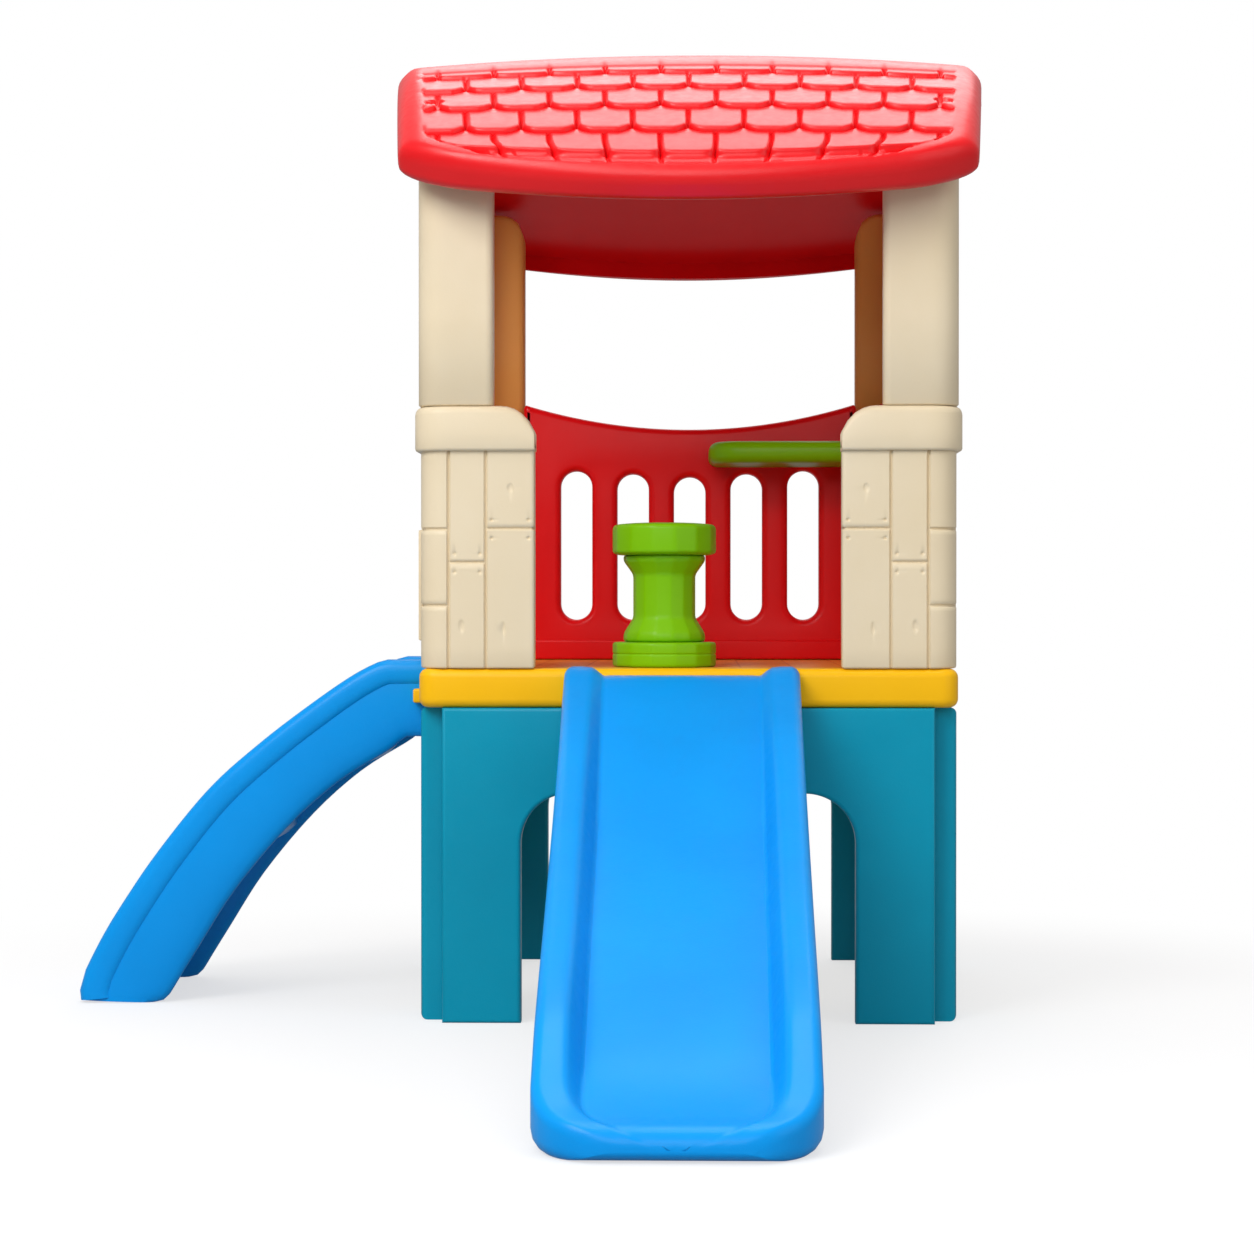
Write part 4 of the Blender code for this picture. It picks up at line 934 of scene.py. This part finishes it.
def pillowMesh(name, pairs, at, half, full):
    # a rail drawn as rounded sections between two lines; a lower power of full bulges more
    rings = []
    for (x0, z0), (x1, z1) in pairs:
        ring = []
        for turn in [math.radians(7.5 + 15 * i) for i in range(24)]:
            fuller = (abs(math.cos(turn)) ** full + abs(math.sin(turn)) ** full) ** (-1 / full)
            share = (1 + fuller * math.cos(turn)) / 2
            x, z = x1 + (x0 - x1) * share, z1 + (z0 - z1) * share
            ring.append((min(x, climber["hook"]), at + half * fuller * math.sin(turn), max(z, 0.0005)))
        rings.append(ring)
    return loftMesh(name, rings)


def evenly(line, count):
    # points along a line at equal steps
    steps = [0.0]
    for a, b in zip(line, line[1:]):
        steps.append(steps[-1] + math.dist(a, b))
    points, k = [], 0
    for i in range(count + 1):
        at = steps[-1] * i / count
        while k < len(line) - 2 and at > steps[k + 1]:
            k += 1
        share = (at - steps[k]) / (steps[k + 1] - steps[k])
        points.append(tuple(a + (b - a) * share for a, b in zip(line[k], line[k + 1])))
    return points


def climberSide():
    # the rail and the raised band along its upper edge, as pairs of upper and lower points
    c = climber
    last = c["sections"]
    upper = curved(c["upper"], 5) + [(c["hook"], c["upper"][-1][1])]
    under = curved(((c["hook"], c["under"][0][1]),) + c["under"], 4)
    foot = arc((c["footRound"] - c["reach"], c["footRound"]), c["footRound"], 270, 180, 6)
    over = evenly(foot[3:] + upper, last)
    band = []
    for k, (x, z) in enumerate(over):
        along = (Vector(over[min(k + 1, last)]) - Vector(over[max(k - 1, 0)])).normalized()
        wide = c["bandWide"] * (1.12 - 0.22 * k / last)
        band.append(((x, z), (x + along.y * wide, max(z - along.x * wide, 0.0))))
    return list(zip(over, evenly(under[::-1], last))), band


def stepOutline():
    # the stair of treads and risers, and back down along the skin's hidden side
    c = climber
    noses, nose, skin, bevel, hook = c["noses"], c["noseRound"], c["skin"], c["bevel"], c["hook"]
    steps = [noses[0]]
    for (x, z), following in zip(noses[1:], noses[2:]):
        steps += arc((x + nose, z - nose), nose, 180, 90, 4) + [(following[0] + c["treadIn"], z)]
    x, top = noses[-1]
    steps += arc((x + nose, top - nose), nose, 180, 90, 4) + [(hook, top), (hook, top - skin)]
    for (x, z), before in zip(reversed(noses[1:]), reversed(noses[:-1])):
        low = before[1] - skin
        steps += [(x + skin, z - skin), (x + skin, low + bevel), (x + skin - bevel, low)]
    return steps[:-2] + [(noses[1][0] + skin - c["stepFoot"], 0.0)]


def makeClimber():
    c = climber
    wide = 2 * c["half"] - 1.6 * c["railWide"]
    parts = [plateMesh("steps", [stepOutline()], wide, 0.003, "y", c["mid"], 3)]
    rail, band = climberSide()
    for sign in (-1, 1):
        at = c["mid"] + sign * (c["half"] - c["railWide"] / 2)
        parts.append(pillowMesh("rail", rail, at, c["railWide"] / 2 - c["bandProud"], c["railFull"]))
        parts.append(pillowMesh("band", band, at, c["railWide"] / 2, c["bandFull"]))
    addPiece("climber_stair", joined("climber", parts), "blue", "climber")


makeClimber()
print("climber made")


# The table and the stool

table = {"left": 0.037, "deep": 0.200, "low": 0.979, "top": 1.021, "round": 0.060, "edge": 0.0185}
stool = {
    "x": -0.042, "y": -0.2945, "z": 0.6003, "disc": 0.090, "baseHigh": 0.043, "seatLow": 0.194, "high": 0.250,
    "column": 0.071, "waist": 0.054, "waistHeights": (0.184, 0.160, 0.085, 0.058), "pin": 0.001,
    "facets": 14, "facetDeep": 0.018, "seam": 0.016, "seamTurns": (math.pi / 2, 3 * math.pi / 2 + 0.03),
    "creaseAt": 0.0225, "creaseHalf": 0.002, "creaseDeep": 0.0018,
}


def makeTable():
    t = table
    face = wall["face"] - wall["thick"] - clear
    near = face - t["deep"]
    outline = [(face, near), (face, face), (t["left"], face)]
    outline += arc((t["left"] + t["round"], near + t["round"]), t["round"], 180, 270, 20)
    slab = plateMesh("table", [outline], t["top"] - t["low"], t["edge"], "z", (t["low"] + t["top"]) / 2, 7)
    addPiece("table_slab", slab, "green", "table_top")


def stoolShape(turn, radius, height):
    # faint facets, and the mould's parting seam on two opposite sides
    s = stool
    facet = (turn * s["facets"] / (2 * math.pi)) % 1.0 - 0.5
    flat = 1 - s["facetDeep"] * (1 - (2 * facet) ** 2)
    onSeam = min(abs(turn - a) for a in s["seamTurns"]) < 0.014 and 0.04 < radius < 0.08
    return flat + (s["seam"] if onSeam else 0.0)


def rolled(profile, radius, steps=4):
    # rounds every corner of a profile
    out = [profile[0]]
    for before, here, after in zip(profile, profile[1:], profile[2:]):
        b, h, a = Vector(before), Vector(here), Vector(after)
        size = min(radius, (h - b).length / 2.2, (a - h).length / 2.2)
        start, end = h + (b - h).normalized() * size, h + (a - h).normalized() * size
        for k in range(steps + 1):
            t = k / steps
            point = start * (1 - t) ** 2 + h * 2 * t * (1 - t) + end * t ** 2
            out.append((point.x, point.y))
    return out + [profile[-1]]


def makeStool():
    s = stool
    disc, low, seat, top, pin = s["disc"], s["baseHigh"], s["seatLow"], s["high"], s["pin"]
    at, half = s["creaseAt"], s["creaseHalf"]
    base = [(pin, low), (disc, low), (disc, at + half), (disc - s["creaseDeep"], at), (disc, at - half),
            (disc, 0.0), (pin, 0.0)]
    upper, above, below, lower = s["waistHeights"]
    column = [(pin, seat - clear), (s["column"], seat - clear), (s["column"], upper), (s["waist"], above),
              (s["waist"], below), (s["column"], lower), (s["column"], low + clear), (pin, low + clear)]
    pad = [(pin, top), (0.6 * disc, top), (disc, top - 0.003), (disc, seat + 0.004), (disc - 0.010, seat),
           (pin, seat)]
    for name, profile, node in (("stool_base_disc", rolled(base, 0.006), "stool_base"),
                                ("stool_column_waist", rolled(column, 0.0065, 5), "stool_column"),
                                ("stool_seat_disc", rolled(pad, 0.0095, 6), "stool_seat")):
        mesh = lathe(name, profile, 128, stoolShape)
        mesh.transform(Matrix.Translation((s["x"], s["y"], s["z"])))
        addPiece(name, mesh, "green", node, "stool")


makeTable()
makeStool()
print("table and stool made")


# The screws

screw = {"head": 0.0070, "high": 0.0045, "shank": 0.0028, "socket": 0.0022, "socketDeep": 0.0024}


def screwMesh(length):
    # a domed head with a six sided socket, its top at z = 0
    s = screw
    head, high, shank, socket = s["head"], s["high"], s["shank"], s["socket"]
    profile = [(socket, -s["socketDeep"]), (socket, -0.0003), (socket + 0.0003, -0.0001),
               (0.55 * head, -0.0003), (0.80 * head, -0.0010), (0.95 * head, -0.0022), (head, -0.0036),
               (head, -high), (shank, -high), (shank, 1.5 * shank - length), (0.0003, -length)]

    def hexagon(turn, radius, height):
        if radius > socket + 0.0004 or height < -s["socketDeep"] - 0.0006:
            return 1.0
        return 1 / math.cos(turn % (math.pi / 3) - math.pi / 6)

    return lathe("screw", profile, 36, hexagon)


def makeScrews():
    for name in sorted(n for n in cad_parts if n.endswith("_screw")):
        low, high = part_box(name)
        size, centre = high - low, (low + high) / 2
        axis = max(range(3), key=lambda k: size[k])
        # the head is the end where the points lie far from the axis
        headEnd = [v.co[axis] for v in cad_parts[name].data.vertices
                   if math.dist([v.co[k] for k in range(3) if k != axis],
                                [centre[k] for k in range(3) if k != axis]) > 0.005]
        sign = 1 if sum(headEnd) / len(headEnd) > centre[axis] else -1
        facing = Vector([float(k == axis) for k in range(3)]) * sign
        mesh = screwMesh(size[axis])
        turn = Vector((0, 0, 1)).rotation_difference(facing).to_matrix().to_4x4()
        mesh.transform(Matrix.Translation(centre + facing * (size[axis] / 2) - towerOrigin) @ turn)
        addPiece(name + "_fixing", mesh, "steel", name)


makeScrews()
print("screws made")


# Floor, light and camera

# each lamp's power, size, place and the height on the tower's axis that it is aimed at
lamps = {
    "key": (160.0, 2.4, (-2.4, -4.0, 3.8), 0.8),
    "front": (62.0, 2.4, (-0.4, -6.0, 2.8), 0.8),
    "fill": (24.0, 3.0, (3.6, -3.4, 2.0), 0.8),
    "back": (54.0, 3.0, (0.3, 2.8, 4.4), 1.2),      # puts the sheen on the roof's tiles
    "top": (85.0, 3.0, (0.0, -0.5, 4.6), 0.8),
}
studio = {
    "world": 0.38, "paper": "#909090", "paperHalf": 30.0,
    # the paper glows: an emission added to its shading, strong for the camera and faint for other rays, which
    # keeps the shadows on it light and sheds a little light onto the object
    "paperGlowSeen": 0.66, "paperGlow": 0.12,
    # where the paper fades to white: an oval round the object, and from where to where in its scale
    "ovalAt": (0.10, 0.42, 0.0), "ovalScale": (0.62, 0.56, 1.0), "paperFrom": 0.85, "paperTo": 1.35,
}
# the camera looks a few pixels down and left, so the horizon lies above the middle and the tower right of it
view = {"at": (0.0185, -5.267, 0.7042), "lens": 81.87, "sensor": 36.0, "focal": 2852, "up": 20, "right": 72}


def placedAt(name, data, at, turn):
    obj = bpy.data.objects.new(name, data)
    bpy.context.scene.collection.objects.link(obj)
    obj.location = towerOrigin + Vector(at)
    obj.rotation_euler = turn
    return obj


def makeLight():
    for name, (energy, size, at, aim) in lamps.items():
        lamp = bpy.data.lights.new(name, "AREA")
        lamp.energy = energy
        lamp.size = size
        placedAt(name, lamp, at, (Vector((0, 0, aim)) - Vector(at)).to_track_quat("-Z", "Y").to_euler())
    world = bpy.data.worlds.new("studio")
    bpy.context.scene.world = world
    world.use_nodes = True
    tree = world.node_tree
    tree.nodes.clear()
    light = addNode(tree, "Background", {"Color": (1, 1, 1, 1), "Strength": studio["world"]})
    seen = addNode(tree, "Background", {"Color": (1, 1, 1, 1), "Strength": 1.0})
    path = addNode(tree, "LightPath")
    pick = addNode(tree, "MixShader", None, {0: path, 1: light, 2: seen})
    addNode(tree, "OutputWorld", None, {"Surface": pick})


def makeFloor():
    s = studio
    half = s["paperHalf"]
    mesh = bpy.data.meshes.new("floor")
    sheet = [(-half, -half, 0), (half, -half, 0), (half, half, 0), (-half, half, 0)]
    mesh.from_pydata(sheet, [], [(0, 1, 2, 3)])
    floor = newObject("floor", mesh)
    paper, tree, shader, place = startMaterial("backdrop_paper_matte", {"Roughness": 0.9,
                                                                        "Base Color": toLinear(s["paper"])})
    # further from the object than its shadows reach, the camera sees plain white paper
    spread = addNode(tree, "Mapping", {"Location": s["ovalAt"], "Scale": s["ovalScale"]}, {"Vector": place})
    away = addNode(tree, "VectorMath", {"operation": "LENGTH"}, {0: spread})
    fade = addNode(tree, "MapRange", {"From Min": s["paperFrom"], "From Max": s["paperTo"],
                                      "interpolation_type": "SMOOTHSTEP"}, {"Value": away.outputs["Value"]})
    path = addNode(tree, "LightPath")
    seen = addNode(tree, "Math", {"operation": "MULTIPLY"}, {0: fade, 1: path})
    lift = addNode(tree, "Math", {"operation": "MULTIPLY_ADD", 1: s["paperGlowSeen"] - s["paperGlow"],
                                  2: s["paperGlow"]}, {0: path})
    # painted glow: the paper emits light, with no lamp beneath it
    under = addNode(tree, "Emission", None, {"Strength": lift})
    lifted = addNode(tree, "AddShader", None, {0: shader, 1: under})
    white = addNode(tree, "Emission", {"Strength": 1.0})
    both = addNode(tree, "MixShader", None, {0: seen, 1: lifted, 2: white})
    tree.links.new(both.outputs[0], tree.nodes["Material Output"].inputs["Surface"])
    mesh.materials.append(paper)


def makeCamera():
    v = view
    bpy.context.scene.view_settings.view_transform = "Standard"
    camera = bpy.data.cameras.new("camera")
    camera.lens = v["lens"]
    camera.sensor_width = v["sensor"]
    camera.clip_end = 100.0
    turn = (math.pi / 2 - math.atan(v["up"] / v["focal"]), 0.0, math.atan(v["right"] / v["focal"]))
    bpy.context.scene.camera = placedAt("camera", camera, v["at"], turn)


makeLight()
makeFloor()
makeCamera()
print("studio made")
